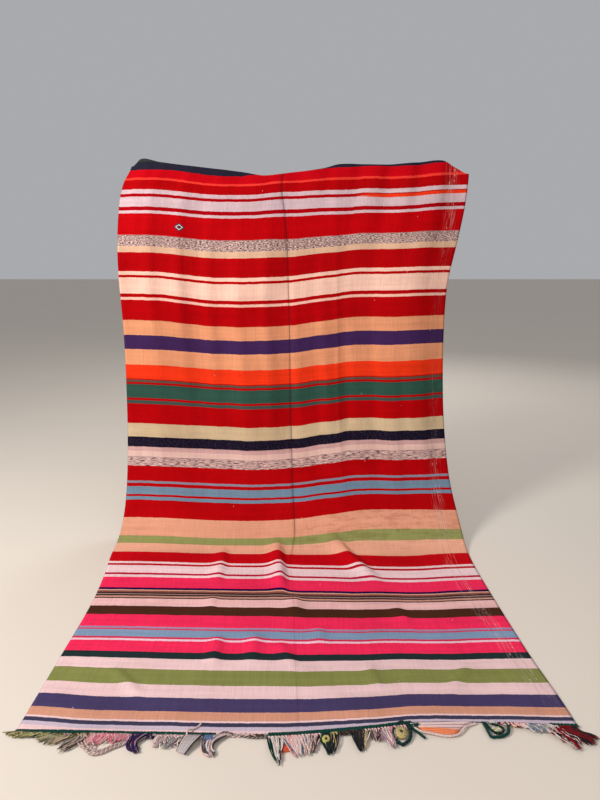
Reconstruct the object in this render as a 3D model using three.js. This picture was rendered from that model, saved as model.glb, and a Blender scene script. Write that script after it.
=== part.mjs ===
// A striped flat-woven kilim rug. Its upper end is thrown over a thin hidden line and hangs a short way
// down behind, the middle hangs in soft folds, and the lower length sweeps forward and lies on the floor.
// Millimetres. X runs across the rug, Y goes from the fringed near end back to the hanging part, Z is up.
import * as THREE from 'three';

// --- Driving dimensions ------------------------------------------------------------------------------
const CLOTH_LENGTH = 3020;        // from the near end to the end that hangs behind the line
const CLOTH_THICKNESS = 3;
const HANG_Y = 1332;              // where the hanging part settles, measured from the near end
const LEAN_FACTOR = 1.3;          // forward reach of the curve for each unit of its bend length
const CURVE_POWER = 1.25;         // how softly the cloth leaves the floor
const HANG_SLOPE = 89 * Math.PI / 180;
const FOLD_RADIUS = 3.3;          // middle of the cloth round the thin line it hangs over
const PATH_STEP = 5;              // step of the running sum that draws each lengthwise line
const GAP = 0.3;                  // room between pieces that touch

// Across the rug u runs from -1 at the left selvedge to 1 at the right one.
const NEAR_END = [[-1, 12], [-0.5, 4], [-0.1, 0], [0.25, 25], [0.45, 45], [0.75, 42], [1, 31]];
const TOUCHDOWN = [[-1, 1027], [-0.2, 1012], [0.3, 967], [1, 947]];
const CREST_HEIGHT = [[-1, 1598], [-0.94, 1627], [-0.82, 1611], [-0.5, 1586], [-0.33, 1573], [-0.13, 1558],
  [0.1, 1575], [0.19, 1586], [0.27, 1603], [0.5, 1601], [0.7, 1609], [0.84, 1616], [0.92, 1590], [1, 1566]];

// Selvedges: distance along the cloth from the near end, and how far out the selvedge lies.
const LEFT_EDGE = [[0, -755], [320, -757], [800, -782], [1000, -800], [1300, -800], [2000, -785],
  [2400, -792], [2600, -778], [2680, -757], [2770, -713]];
const RIGHT_EDGE = [[0, 746], [320, 725], [800, 710], [1100, 713], [1350, 680], [1700, 652], [2000, 642],
  [2200, 648], [2400, 684], [2560, 708], [2700, 713]];

// Standing folds of the hanging part: waves across the rug, depth, and place of a crest.
const FOLDS = [
  { waves: 2.3, depth: 9, shift: 0.1 },
  { waves: 4.2, depth: 8, shift: 0.45 },
  { waves: 6.4, depth: 4, shift: 0.2 },
];
const FOLDS_START = 1050;         // along the cloth, where the folds begin to rise
const FOLDS_FULL = 1700;
const FOLDS_FADE = 2250;
const FOLDS_TOP = 2700;
const FOLDS_AT_LINE = 0.2;        // share of the depth that is left at the line
const LEFT_CURL = 34;             // how far the left top corner turns back
const CURL_WIDTH = 0.16;          // share of the half width that turns back
const CURL_START = 2250;

// Ripples where the cloth meets the floor: one end, other end, height and half width of each ridge.
const RIDGES = [
  { from: [-100, 1080], to: [-62, 640], height: 22, halfWidth: 34 },
  { from: [150, 1080], to: [310, 735], height: 19, halfWidth: 36 },
  { from: [-325, 1020], to: [-318, 720], height: 10, halfWidth: 32 },
];

const COLUMNS = 36;
const ROWS = { floor: 12, curve: 14, hang: 11, crest: 5, back: 3 };
const CURVE_BACK = 220;           // the close rows start this far before the cloth leaves the floor
const CURVE_REACH = 420;          // and end this far after it

const CORD_RADIUS = 2.5;
const CORD_SIDES = 8;
const CORD_STEPS = 72;
const CLOTH_TO_CORD = 1.2;        // cord radii from the cloth's end to the cord's middle, past the gap
const CORD_TO_ROOT = 1.35;        // and on to the fringe's root, with room for the facets of both
// The worn stretch where the edge cord has pulled away from the cloth and hangs forward as a loop.
const PULLED = { from: 305, to: 478, reach: 30 };

const FRINGE_THICKNESS = 4;
const FRINGE_BASE = 4;            // width of the knotted strip that joins the tassels
const BASE_STEP = 22;             // step along that strip between tassels
// Tassels by hand: middle, width at the root, reach forward, and how far the tip leans to the right.
const TASSELS = [
  [-728, 42, 20, -34], [-684, 40, 30, -40], [-640, 40, 44, -36], [-592, 34, 66, -12], [-540, 44, 50, 16],
  [-492, 40, 54, 14], [-438, 32, 70, 12], [-380, 40, 52, -6], [-326, 44, 54, -14], [-262, 38, 74, 10],
  [-206, 26, 24, 4], [-160, 26, 20, -2], [-116, 26, 22, 2], [-70, 26, 96, 12], [-26, 34, 80, 10],
  [24, 34, 76, 4], [72, 32, 80, -4], [124, 22, 16, 0], [166, 28, 84, 2], [212, 34, 82, 14],
  [262, 40, 38, 18], [500, 22, 34, 10], [536, 26, 34, 6], [580, 34, 20, 4], [624, 34, 24, 8],
  [664, 26, 36, 20], [709, 34, 66, 70],
];

// --- Helpers -------------------------------------------------------------------------------------------
/** Smooth curve through stations [place, value], with level ends. */
function through(stations, place) {
  const last = stations.length - 1;
  if (place <= stations[0][0]) return stations[0][1];
  if (place >= stations[last][0]) return stations[last][1];
  let i = 0;
  while (place > stations[i + 1][0]) i += 1;
  const slope = (k) => {
    if (k <= 0 || k >= last) return 0;
    return (stations[k + 1][1] - stations[k - 1][1]) / (stations[k + 1][0] - stations[k - 1][0]);
  };
  const span = stations[i + 1][0] - stations[i][0];
  const t = (place - stations[i][0]) / span;
  const rise = stations[i + 1][1] - stations[i][1];
  const a = slope(i) * span - rise;
  const b = rise - slope(i + 1) * span;
  return stations[i][1] + t * rise + t * (1 - t) * (a * (1 - t) + b * t);
}

const ease = (from, to, x) => THREE.MathUtils.smoothstep(x, from, to);

// --- The cloth's middle surface --------------------------------------------------------------------------
/** One lengthwise line of the cloth: its y and z at every PATH_STEP, and where it meets the line. */
function lengthwiseLine(u) {
  const nearEnd = through(NEAR_END, u);
  const touchdown = through(TOUCHDOWN, u);
  const floorLength = touchdown - nearEnd;
  const bend = (HANG_Y - touchdown) / LEAN_FACTOR;
  const top = through(CREST_HEIGHT, u) - CLOTH_THICKNESS / 2 - FOLD_RADIUS;
  const points = [[nearEnd, CLOTH_THICKNESS / 2]];
  let [y, z] = points[0];
  let s = 0;
  while (z < top) {
    const past = Math.max(s + PATH_STEP / 2 - floorLength, 0) / bend;
    const slope = HANG_SLOPE * (1 - Math.exp(-(past ** CURVE_POWER)));
    const step = Math.min(PATH_STEP, (top - z) / Math.max(Math.sin(slope), 1e-6));
    y += step * Math.cos(slope);
    z += step * Math.sin(slope);
    s += step;
    points.push([y, z]);
  }
  return { u, floorLength, points, crestStart: s };
}

/** The y and z of a lengthwise line at a distance s from the near end, before folds and ridges. */
function alongLine(line, s) {
  const k = Math.min(Math.max(s / PATH_STEP, 0), line.points.length - 1);
  const i = Math.min(Math.floor(k), line.points.length - 2);
  const isLast = i === line.points.length - 2;
  const span = isLast ? line.crestStart - i * PATH_STEP : PATH_STEP;
  const t = Math.min((s - i * PATH_STEP) / span, 1);
  const [y0, z0] = line.points[i];
  const [y1, z1] = line.points[i + 1];
  return [y0 + t * (y1 - y0), z0 + t * (z1 - z0)];
}

/** How far a standing fold pushes the hanging cloth towards the viewer. */
function foldDepth(u, s) {
  const rise = ease(FOLDS_START, FOLDS_FULL, s);
  const fade = 1 - (1 - FOLDS_AT_LINE) * ease(FOLDS_FADE, FOLDS_TOP, s);
  const wave = (fold) => fold.depth * Math.cos(Math.PI * (fold.waves * u + 2 * fold.shift));
  const curl = LEFT_CURL * ease(CURL_START, FOLDS_TOP, s) * (1 - ease(-1, -1 + CURL_WIDTH, u)) ** 2;
  return rise * fade * FOLDS.reduce((sum, fold) => sum + wave(fold), 0) - curl;
}

/** Height that the floor ripples add at a place. */
function ridgeHeight(x, y) {
  let height = 0;
  for (const { from, to, height: top, halfWidth } of RIDGES) {
    const along = new THREE.Vector2(to[0] - from[0], to[1] - from[1]);
    const place = new THREE.Vector2(x - from[0], y - from[1]);
    const t = place.dot(along) / along.lengthSq();
    const off = Math.abs(place.cross(along)) / along.length() / halfWidth;
    const ends = ease(-0.12, 0.22, t) * (1 - ease(0.55, 1.1, t));
    height += top * ends * Math.exp(-off * off);
  }
  return height;
}

/** A point of the cloth's middle surface in front of the line it hangs over. */
function frontPoint(line, s) {
  const [y, z] = alongLine(line, s);
  const left = through(LEFT_EDGE, s);
  const right = through(RIGHT_EDGE, s);
  const x = left + (right - left) * (line.u + 1) / 2;
  return new THREE.Vector3(x, y - foldDepth(line.u, s), z + ridgeHeight(x, y));
}

/** A point of the cloth's middle surface at a distance s from the near end, over and behind the line too. */
function clothPoint(line, s) {
  const past = s - line.crestStart;
  if (past <= 0) return frontPoint(line, s);
  const halfTurn = Math.PI * FOLD_RADIUS;
  const angle = Math.min(past / halfTurn, 1) * Math.PI;
  const down = Math.max(past - halfTurn, 0);
  const point = frontPoint(line, line.crestStart - down);
  point.y += FOLD_RADIUS * (1 - Math.cos(angle));
  point.z += FOLD_RADIUS * Math.sin(angle);
  return point;
}

/** Distances along one line of the cloth for every row, close together where the cloth bends. */
function rowPlaces(line) {
  const crestEnd = line.crestStart + Math.PI * FOLD_RADIUS;
  const curveStart = line.floorLength - CURVE_BACK;
  const curveEnd = line.floorLength + CURVE_REACH;
  const stretches = [
    [0, curveStart, ROWS.floor],
    [curveStart, curveEnd, ROWS.curve],
    [curveEnd, line.crestStart, ROWS.hang],
    [line.crestStart, crestEnd, ROWS.crest],
    [crestEnd, CLOTH_LENGTH, ROWS.back],
  ];
  const places = [0];
  for (const [from, to, rows] of stretches) {
    for (let k = 1; k <= rows; k += 1) places.push(from + (to - from) * k / rows);
  }
  return places;
}

// --- Geometry of the pieces ---------------------------------------------------------------------------
/** Closed sheet of a given thickness about a grid of middle points, grid[column][row]. */
function sheetGeometry(grid, thickness) {
  const columns = grid.length;
  const rows = grid[0].length;
  const positions = [];
  const side = (sign) => {
    for (let i = 0; i < columns; i += 1) {
      for (let j = 0; j < rows; j += 1) {
        const before = grid[Math.max(i - 1, 0)][j];
        const after = grid[Math.min(i + 1, columns - 1)][j];
        const below = grid[i][Math.max(j - 1, 0)];
        const above = grid[i][Math.min(j + 1, rows - 1)];
        const across = after.clone().sub(before);
        const normal = across.cross(above.clone().sub(below)).normalize();
        positions.push(...grid[i][j].clone().addScaledVector(normal, sign * thickness / 2).toArray());
      }
    }
  };
  side(1);
  side(-1);
  const lower = columns * rows;
  const index = [];
  const quad = (a, b, c, d) => index.push(a, b, c, a, c, d);
  for (let i = 0; i + 1 < columns; i += 1) {
    for (let j = 0; j + 1 < rows; j += 1) {
      const a = i * rows + j;
      quad(a, a + rows, a + rows + 1, a + 1);
      quad(lower + a, lower + a + 1, lower + a + rows + 1, lower + a + rows);
    }
    for (const j of [0, rows - 1]) {
      const [a, b] = j === 0 ? [i * rows, (i + 1) * rows] : [(i + 2) * rows - 1, (i + 1) * rows - 1];
      quad(b, a, lower + a, lower + b);
    }
  }
  for (let j = 0; j + 1 < rows; j += 1) {
    const right = (columns - 1) * rows + j;
    quad(j, j + 1, lower + j + 1, lower + j);
    quad(right + 1, right, lower + right, lower + right + 1);
  }
  const geometry = new THREE.BufferGeometry();
  geometry.setAttribute('position', new THREE.Float32BufferAttribute(positions, 3));
  geometry.setIndex(index);
  return geometry;
}

function clothGeometry() {
  const grid = [];
  for (let i = 0; i <= COLUMNS; i += 1) {
    const line = lengthwiseLine(-1 + 2 * i / COLUMNS);
    grid.push(rowPlaces(line).map((s) => clothPoint(line, s)));
  }
  return sheetGeometry(grid, CLOTH_THICKNESS);
}

/** The near end of the cloth as y at a place x. */
function nearEndY(x) {
  const left = LEFT_EDGE[0][1];
  const right = RIGHT_EDGE[0][1];
  return through(NEAR_END, 2 * (x - left) / (right - left) - 1);
}

/** Middle of the edge cord in front of the near end, with the loop that has pulled away. */
function cordY(x) {
  const t = (x - PULLED.from) / (PULLED.to - PULLED.from);
  const loop = t > 0 && t < 1 ? Math.sin(Math.PI * t) ** 2 : 0;
  return nearEndY(x) - GAP - CLOTH_TO_CORD * CORD_RADIUS - PULLED.reach * loop;
}

function cordGeometry() {
  const from = LEFT_EDGE[0][1];
  const to = RIGHT_EDGE[0][1];
  const points = [];
  for (let k = 0; k <= CORD_STEPS; k += 1) {
    const x = from + (to - from) * k / CORD_STEPS;
    points.push(new THREE.Vector3(x, cordY(x), CORD_RADIUS));
  }
  const section = new THREE.Shape();
  for (let k = 0; k <= CORD_SIDES; k += 1) {
    const angle = 2 * Math.PI * k / CORD_SIDES;
    const place = [CORD_RADIUS * Math.cos(angle), CORD_RADIUS * Math.sin(angle)];
    if (k === 0) section.moveTo(...place);
    else section.lineTo(...place);
  }
  const path = new THREE.CatmullRomCurve3(points);
  return new THREE.ExtrudeGeometry(section, { steps: CORD_STEPS, bevelEnabled: false, extrudePath: path });
}

/** The whole fringe as one comb: a knotted strip along the edge cord, with tapered tassels. */
function fringeGeometry() {
  const from = LEFT_EDGE[0][1];
  const to = RIGHT_EDGE[0][1];
  const rootY = (x) => cordY(x) - CORD_TO_ROOT * CORD_RADIUS - GAP;
  const baseY = (x) => rootY(x) - FRINGE_BASE;
  const comb = new THREE.Shape();
  comb.moveTo(from, rootY(from));
  let reached = from;
  const followBase = (target) => {
    const steps = Math.max(Math.ceil((target - reached) / BASE_STEP), 1);
    const start = reached;
    for (let k = 1; k <= steps; k += 1) {
      reached = start + (target - start) * k / steps;
      comb.lineTo(reached, baseY(reached));
    }
  };
  for (const [middle, width, reach, lean] of TASSELS) {
    followBase(middle - width / 2);
    comb.lineTo(middle - width / 4 + lean, baseY(middle) - reach);
    comb.lineTo(middle + width / 4 + lean, baseY(middle) - reach * 0.94);
    reached = middle + width / 2;
    comb.lineTo(reached, baseY(reached));
  }
  followBase(to);
  for (let k = CORD_STEPS; k > 0; k -= 1) {
    const x = from + (to - from) * k / CORD_STEPS;
    comb.lineTo(x, rootY(x));
  }
  comb.closePath();
  return new THREE.ExtrudeGeometry(comb, { depth: FRINGE_THICKNESS, bevelEnabled: false });
}

// --- Assembly ------------------------------------------------------------------------------------------
function piece(name, geometry, color, roughness) {
  const material = new THREE.MeshStandardMaterial({ color, roughness, metalness: 0 });
  const mesh = new THREE.Mesh(geometry, material);
  mesh.name = name;
  return mesh;
}

const rug = new THREE.Group();
rug.add(piece('rug_cloth', clothGeometry(), 0xa8121a, 0.92));
rug.add(piece('edge_cord', cordGeometry(), 0x24483f, 0.9));
rug.add(piece('fringe', fringeGeometry(), 0xb59a96, 0.95));

// The origin is on the floor under the middle of the rug's box.
const box = new THREE.Box3().setFromObject(rug);
const middle = box.getCenter(new THREE.Vector3());
rug.position.set(-middle.x, -middle.y, -box.min.z);

export default rug;
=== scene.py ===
"""A striped flat-woven kilim rug. Its upper end hangs over a thin line and its lower end lies on the floor.

Sizes are in metres, unless a class says millimetres. The rug is worked out in its own design frame, where X
runs across it, Y goes back from its fringed near end and Z is up, and main works out the shift from there to
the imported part. One class makes each sub-assembly: the cloth, its twined edge, the fringe and the studio.
"""

import logging
import math
from dataclasses import dataclass, field
from enum import Enum
from functools import partial, reduce

import bpy
import numpy as np
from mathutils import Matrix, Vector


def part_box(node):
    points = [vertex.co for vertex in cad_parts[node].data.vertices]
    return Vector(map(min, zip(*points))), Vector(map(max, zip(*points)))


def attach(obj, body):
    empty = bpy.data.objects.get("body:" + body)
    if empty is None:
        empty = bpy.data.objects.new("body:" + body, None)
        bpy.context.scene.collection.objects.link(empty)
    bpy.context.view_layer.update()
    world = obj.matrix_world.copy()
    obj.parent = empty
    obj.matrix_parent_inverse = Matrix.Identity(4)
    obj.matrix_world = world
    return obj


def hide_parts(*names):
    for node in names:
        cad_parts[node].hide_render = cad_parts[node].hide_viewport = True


Socket = bpy.types.NodeSocket
LOG = logging.getLogger("kilim")
BODY = "root"
WEAVE_MAP = "Weave"
YARN_MAP = "Yarn"
BAKE_MAP = "OFBake"
LEFT_OF_ORIGIN = 0.80198

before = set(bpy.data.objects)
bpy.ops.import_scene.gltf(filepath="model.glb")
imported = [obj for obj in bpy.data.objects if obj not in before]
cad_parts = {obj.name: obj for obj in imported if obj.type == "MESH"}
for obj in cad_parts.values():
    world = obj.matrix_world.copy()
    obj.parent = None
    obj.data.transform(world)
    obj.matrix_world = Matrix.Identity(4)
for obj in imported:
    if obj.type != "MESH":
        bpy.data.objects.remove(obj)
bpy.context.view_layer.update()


# --------------------------------------------------------------------------------------------------
# Colours and shader nodes
# --------------------------------------------------------------------------------------------------


@dataclass(frozen=True)
class Dye:
    """A wool colour, each part from 0 to 255 as it looks in plain light."""

    red: int
    green: int
    blue: int

    def linear(self, lift: float = 1.0) -> tuple[float, float, float, float]:
        """Gives the colour that a shader wants.

        Args:
            lift: multiplies the light that the wool sends back.

        Returns:
            Linear red, green, blue and an alpha of one.
        """
        parts = []
        for part in (self.red, self.green, self.blue):
            share = part / 255
            plain = share / 12.92 if share <= 0.04045 else ((share + 0.055) / 1.055) ** 2.4
            parts.append(min(plain * lift, 0.95))
        return (parts[0], parts[1], parts[2], 1.0)


class NodeBench:
    """Lays out and links the nodes of one shader tree."""

    def __init__(self, tree: bpy.types.NodeTree) -> None:
        """Keeps the tree and counts the nodes placed in it."""
        self.tree = tree
        self.placed = 0

    def add(self, kind: str, sockets: dict | None = None, **settings: object) -> bpy.types.Node:
        """Places one node.

        Args:
            kind: the node's type.
            sockets: what goes into its inputs, by name or number: a value, a dye or another node's output.
            settings: the node's own settings.

        Returns:
            The new node.
        """
        node = self.tree.nodes.new(kind)
        node.location = (170 * (self.placed // 6), -190 * (self.placed % 6))
        self.placed += 1
        for name, value in settings.items():
            setattr(node, name, value)
        for name, value in (sockets or {}).items():
            if isinstance(value, Socket):
                self.tree.links.new(value, node.inputs[name])
            else:
                node.inputs[name].default_value = value.linear() if isinstance(value, Dye) else value
        return node

    def math(self, operation: str, *values: object) -> Socket:
        """Gives the result of a Math node on one to three numbers or sockets."""
        return self.add("ShaderNodeMath", dict(enumerate(values)), operation=operation).outputs[0]

    def times(self, *values: object) -> Socket:
        """Multiplies all the values."""
        return reduce(partial(self.math, "MULTIPLY"), values)

    def line(self, value: object, slope: object, base: object) -> Socket:
        """Gives value times slope, plus base."""
        return self.math("MULTIPLY_ADD", value, slope, base)

    def away(self, value: object, middle: object) -> Socket:
        """Gives how far a value is from the middle, on either side."""
        return self.math("ABSOLUTE", self.math("SUBTRACT", value, middle))

    def humps(self, turns: object) -> Socket:
        """Rises to 1 and falls to 0 once in every turn."""
        return self.math("ABSOLUTE", self.math("SINE", self.times(turns, math.pi)))

    def blend(self, amount: object, under: object, over: object, mode: str = "MIX") -> Socket:
        """Mixes two colours.

        Args:
            amount: how much of the second, from 0 to 1.
            under: the first colour.
            over: the second colour.
            mode: the way they mix.

        Returns:
            The socket that holds the mixed colour.
        """
        sockets = {0: amount, 6: under, 7: over}
        node = self.add("ShaderNodeMix", sockets, data_type="RGBA", blend_type=mode, clamp_result=True)
        return node.outputs[2]

    def toned(self, colour: object, tone: object) -> Socket:
        """Multiplies a colour by one number."""
        grey = self.add("ShaderNodeCombineXYZ", {0: tone, 1: tone, 2: tone}).outputs[0]
        return self.blend(1.0, colour, grey, "MULTIPLY")

    def bands(self, value: object, starts: list[tuple[float, Dye]]) -> Socket:
        """Gives a value its colour, in bands with hard edges.

        Args:
            value: the socket that holds it, from 0 to 1.
            starts: where each band starts, from 0 up, with its dye.

        Returns:
            The colour's socket.
        """
        node = self.add("ShaderNodeValToRGB", {0: value})
        node.color_ramp.interpolation = "CONSTANT"
        stops = node.color_ramp.elements
        stops.remove(stops[-1])
        stops[0].color = starts[0][1].linear()
        for start, dye in starts[1:]:
            stops.new(start).color = dye.linear()
        return node.outputs[0]

    def vector(self, operation: str, *values: object) -> bpy.types.Node:
        """Places a Vector Math node."""
        return self.add("ShaderNodeVectorMath", dict(enumerate(values)), operation=operation)

    def stretched(self, place: object, scale: tuple[float, float, float]) -> Socket:
        """Scales a place differently along each axis."""
        return self.vector("MULTIPLY", place, scale).outputs[0]

    def noise(self, place: object, scale: tuple[float, float, float], detail: float = 2.0,
              rough: float = 0.5) -> Socket:
        """Gives a soft random value.

        Args:
            place: where, in metres.
            scale: lumps per metre along each axis.
            detail: how many finer layers it has.
            rough: how strong those layers are.

        Returns:
            The socket that holds a value of about 0.2 to 0.8.
        """
        where = self.stretched(place, scale)
        sockets = {"Vector": where, "Scale": 1.0, "Detail": detail, "Roughness": rough}
        return self.add("ShaderNodeTexNoise", sockets, noise_dimensions="3D").outputs[0]

    def step(self, value: object, low: float, high: float) -> Socket:
        """Rises smoothly from 0 to 1.

        Args:
            value: the socket that holds the value.
            low: where the rise starts, or where the fall ends if it is the larger.
            high: where the rise ends, or where the fall starts.

        Returns:
            The socket that holds the step.
        """
        sockets = {0: value, 1: low, 2: high, 3: 0.0, 4: 1.0}
        if low > high:
            sockets = {0: value, 1: high, 2: low, 3: 1.0, 4: 0.0}
        return self.add("ShaderNodeMapRange", sockets, interpolation_type="SMOOTHSTEP").outputs[0]

    def band(self, value: object, low: float, high: float, soft: float) -> Socket:
        """Is 1 from low to high and 0 outside, with edges that are soft wide."""
        begun = self.step(value, low - soft, low + soft)
        return self.times(begun, self.step(value, high + soft, high - soft))

    def parts(self, place: object) -> list[Socket]:
        """Splits a vector into its x, y and z."""
        return list(self.add("ShaderNodeSeparateXYZ", {0: place}).outputs)

    def map(self, name: str) -> Socket:
        """Reads a UV map of the mesh."""
        return self.add("ShaderNodeUVMap", uv_map=name).outputs[0]

    def value_of(self, name: str) -> Socket:
        """Reads a number that the mesh keeps at each vertex."""
        return self.add("ShaderNodeAttribute", attribute_name=name, attribute_type="GEOMETRY").outputs["Fac"]


class SharedEffects:
    """The node groups that several finishes use."""

    plain_grey: tuple[float, float, float, float] = (0.5, 0.5, 0.5, 1.0)
    soil: tuple[float, float, float, float] = (0.62, 0.56, 0.50, 1.0)

    def __init__(self) -> None:
        """Builds each group once."""
        self.weave = self.weft_faced_weave()
        self.twist = self.plied_yarn()
        self.age = self.handled_wool()

    @staticmethod
    def begin(name: str, inputs: dict[str, object], outputs: dict[str, str]) -> tuple:
        """Opens a new group with its sockets.

        Args:
            name: the group's name.
            inputs: first value by name: a number, a colour, or None for a vector.
            outputs: Float or Color by name.

        Returns:
            The group's bench and what is given to it, by name.
        """
        tree = bpy.data.node_groups.new(name, "ShaderNodeTree")
        for label, value in inputs.items():
            kind = "Vector" if value is None else "Float" if isinstance(value, float) else "Color"
            socket = tree.interface.new_socket(name=label, in_out="INPUT", socket_type=f"NodeSocket{kind}")
            if value is not None:
                socket.default_value = value
        for label, kind in outputs.items():
            tree.interface.new_socket(name=label, in_out="OUTPUT", socket_type=f"NodeSocket{kind}")
        bench = NodeBench(tree)
        return bench, bench.add("NodeGroupInput").outputs

    def weft_faced_weave(self) -> bpy.types.NodeTree:
        """Makes the relief and tone of weft packed over warp ribs, with painted shade in the grooves between
        the beads.

        Returns:
            The group. Place is in metres, across the cloth and along it.
        """
        bench, given = self.begin("weft-faced weave",
                                  {"Place": None, "Rib Spacing": 0.005, "Weft Spacing": 0.0016},
                                  {"Height": "Float", "Tone": "Float"})
        place = given["Place"]
        across, along, _ = bench.parts(place)
        drift = bench.line(bench.noise(place, (9.0, 3.0, 1.0)), 0.012, across)
        rib = bench.humps(bench.math("DIVIDE", drift, given["Rib Spacing"]))
        sway = bench.line(bench.noise(place, (14.0, 30.0, 1.0)), 0.004, along)
        weft = bench.humps(bench.math("DIVIDE", sway, given["Weft Spacing"]))
        bead = bench.times(bench.math("POWER", rib, 0.6), bench.line(weft, 0.35, 0.65))
        streak = bench.noise(place, (7.0, 420.0, 1.0), 1.0)
        abrash = bench.noise(place, (1.6, 55.0, 1.0), 3.0, 0.6)
        patch = bench.noise(place, (4.0, 5.0, 1.0), 2.0)
        warp = bench.noise(place, (150.0, 7.0, 1.0), 2.0, 0.6)
        tone = bench.line(streak, 0.26, bench.line(abrash, 0.30, 0.62))
        tone = bench.line(patch, 0.16, tone)
        tone = bench.line(bench.math("SUBTRACT", warp, 0.5), 0.30, tone)
        # Painted shade: the tone is lighter on the raised beads and darker in the grooves between them.
        tone = bench.line(bead, 0.10, bench.math("SUBTRACT", tone, 0.08))
        bench.add("NodeGroupOutput", {"Height": bead, "Tone": tone})
        return bench.tree

    def plied_yarn(self) -> bpy.types.NodeTree:
        """Makes the twist of a plied wool yarn, with painted shade in the grooves between its plies.

        Returns:
            The group. Run is the turn round the yarn and the metres along it.
        """
        bench, given = self.begin("plied yarn", {"Run": None, "Twist": 90.0, "Colour": self.plain_grey},
                                  {"Colour": "Color", "Height": "Float"})
        turn, along, _ = bench.parts(given["Run"])
        ply = bench.humps(bench.line(along, given["Twist"], bench.times(turn, 2.0)))
        hair = bench.noise(given["Run"], (6.0, 160.0, 1.0), 3.0, 0.7)
        # Painted shade: the tone is darker in the grooves between the plies and lighter on their crests.
        tone = bench.line(ply, 0.34, bench.line(hair, 0.6, 0.42))
        bench.add("NodeGroupOutput", {"Colour": bench.toned(given["Colour"], tone), "Height": ply})
        return bench.tree

    def handled_wool(self) -> bpy.types.NodeTree:
        """Soils wool in soft patches, as years of use do, and keeps its dye.

        Returns:
            The group. Its roughness follows the same patches.
        """
        bench, given = self.begin("handled wool", {"Colour": self.plain_grey, "Soil": 0.2},
                                  {"Colour": "Color", "Roughness": "Float"})
        place = bench.add("ShaderNodeTexCoord").outputs["Object"]
        patch = bench.step(bench.noise(place, (5.0, 5.0, 5.0), 3.0, 0.6), 0.42, 0.72)
        fine = bench.noise(place, (70.0, 70.0, 70.0), 2.0)
        amount = bench.times(bench.line(fine, 0.5, patch), given["Soil"])
        bench.add("NodeGroupOutput", {
            "Colour": bench.blend(amount, given["Colour"], self.soil, "MULTIPLY"),
            "Roughness": bench.line(patch, 0.08, 0.86)})
        return bench.tree


@dataclass(frozen=True)
class WoolShade:
    """How soft wool answers light and wears, the same for the cloth and the yarns."""

    effects: SharedEffects
    specular: float
    soil: float
    relief: float

    def close(self, material: bpy.types.Material, bench: NodeBench, colour: object, height: object) -> None:
        """Ends a wool material with its wear, its relief and its shader.

        Args:
            material: the material to finish.
            bench: its nodes.
            colour: the clean colour's socket.
            height: the socket of the surface's relief, from 0 to 1.
        """
        age = bench.add("ShaderNodeGroup", {"Colour": colour, "Soil": self.soil}, node_tree=self.effects.age)
        bump = bench.add("ShaderNodeBump", {"Height": height, "Distance": self.relief, "Strength": 0.8})
        shader = bench.add("ShaderNodeBsdfPrincipled", {
            "Base Color": age.outputs["Colour"], "Roughness": age.outputs["Roughness"],
            "Normal": bump.outputs[0], "Specular IOR Level": self.specular})
        output = bench.add("ShaderNodeOutputMaterial", {"Surface": shader.outputs[0]})
        material.node_tree.nodes.active = output


def new_material(name: str) -> tuple[bpy.types.Material, NodeBench]:
    """Makes an empty node material.

    Args:
        name: what it is called.

    Returns:
        The material and the bench of its nodes.
    """
    material = bpy.data.materials.new(name)
    material.use_nodes = True
    material.node_tree.nodes.clear()
    return material, NodeBench(material.node_tree)


# --------------------------------------------------------------------------------------------------
# The stripes
# --------------------------------------------------------------------------------------------------


class Weft(Enum):
    """How the yarns of a stripe are packed."""

    PLAIN = "plain"
    SPECKLED = "speckled"
    DASHED = "dashed"
    MOTTLED = "mottled"


@dataclass(frozen=True)
class Stripe:
    """One stripe: its width along the cloth in millimetres, its dye and how it is woven."""

    width: float
    dye: Dye
    weft: Weft = Weft.PLAIN


RED = Dye(176, 4, 10)
BRIGHT_RED = Dye(196, 6, 20)
HOT_PINK = Dye(244, 46, 90)
CRIMSON = Dye(214, 50, 88)
PALE_PINK = Dye(236, 200, 200)
PALE_ROSE = Dye(238, 188, 186)
WHITE_WOOL = Dye(244, 212, 214)
MAUVE_WHITE = Dye(210, 182, 188)
CREAM = Dye(240, 188, 170)
WARM_CREAM = Dye(246, 200, 180)
PEACH = Dye(226, 152, 112)
SALMON = Dye(226, 158, 128)
TAN = Dye(211, 150, 124)
ORANGE = Dye(238, 56, 24)
KHAKI = Dye(206, 182, 146)
SAGE = Dye(148, 150, 90)
OLIVE = Dye(132, 136, 76)
GREEN = Dye(48, 84, 72)
GREY_GREEN = Dye(84, 80, 68)
TEAL = Dye(34, 48, 50)
SKY = Dye(128, 154, 182)
BLUE_GREY = Dye(112, 138, 158)
SLATE = Dye(72, 62, 100)
SLATE_NAVY = Dye(62, 60, 84)
PURPLE = Dye(64, 38, 84)
NAVY = Dye(24, 18, 36)
INK = Dye(38, 36, 52)
CHARCOAL = Dye(48, 54, 52)
BROWN = Dye(74, 42, 28)
DARK_BROWN = Dye(58, 38, 36)
LILAC = Dye(200, 182, 198)
LILAC_WHITE = Dye(238, 198, 212)
SPECKLE = Dye(168, 130, 130)

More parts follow.
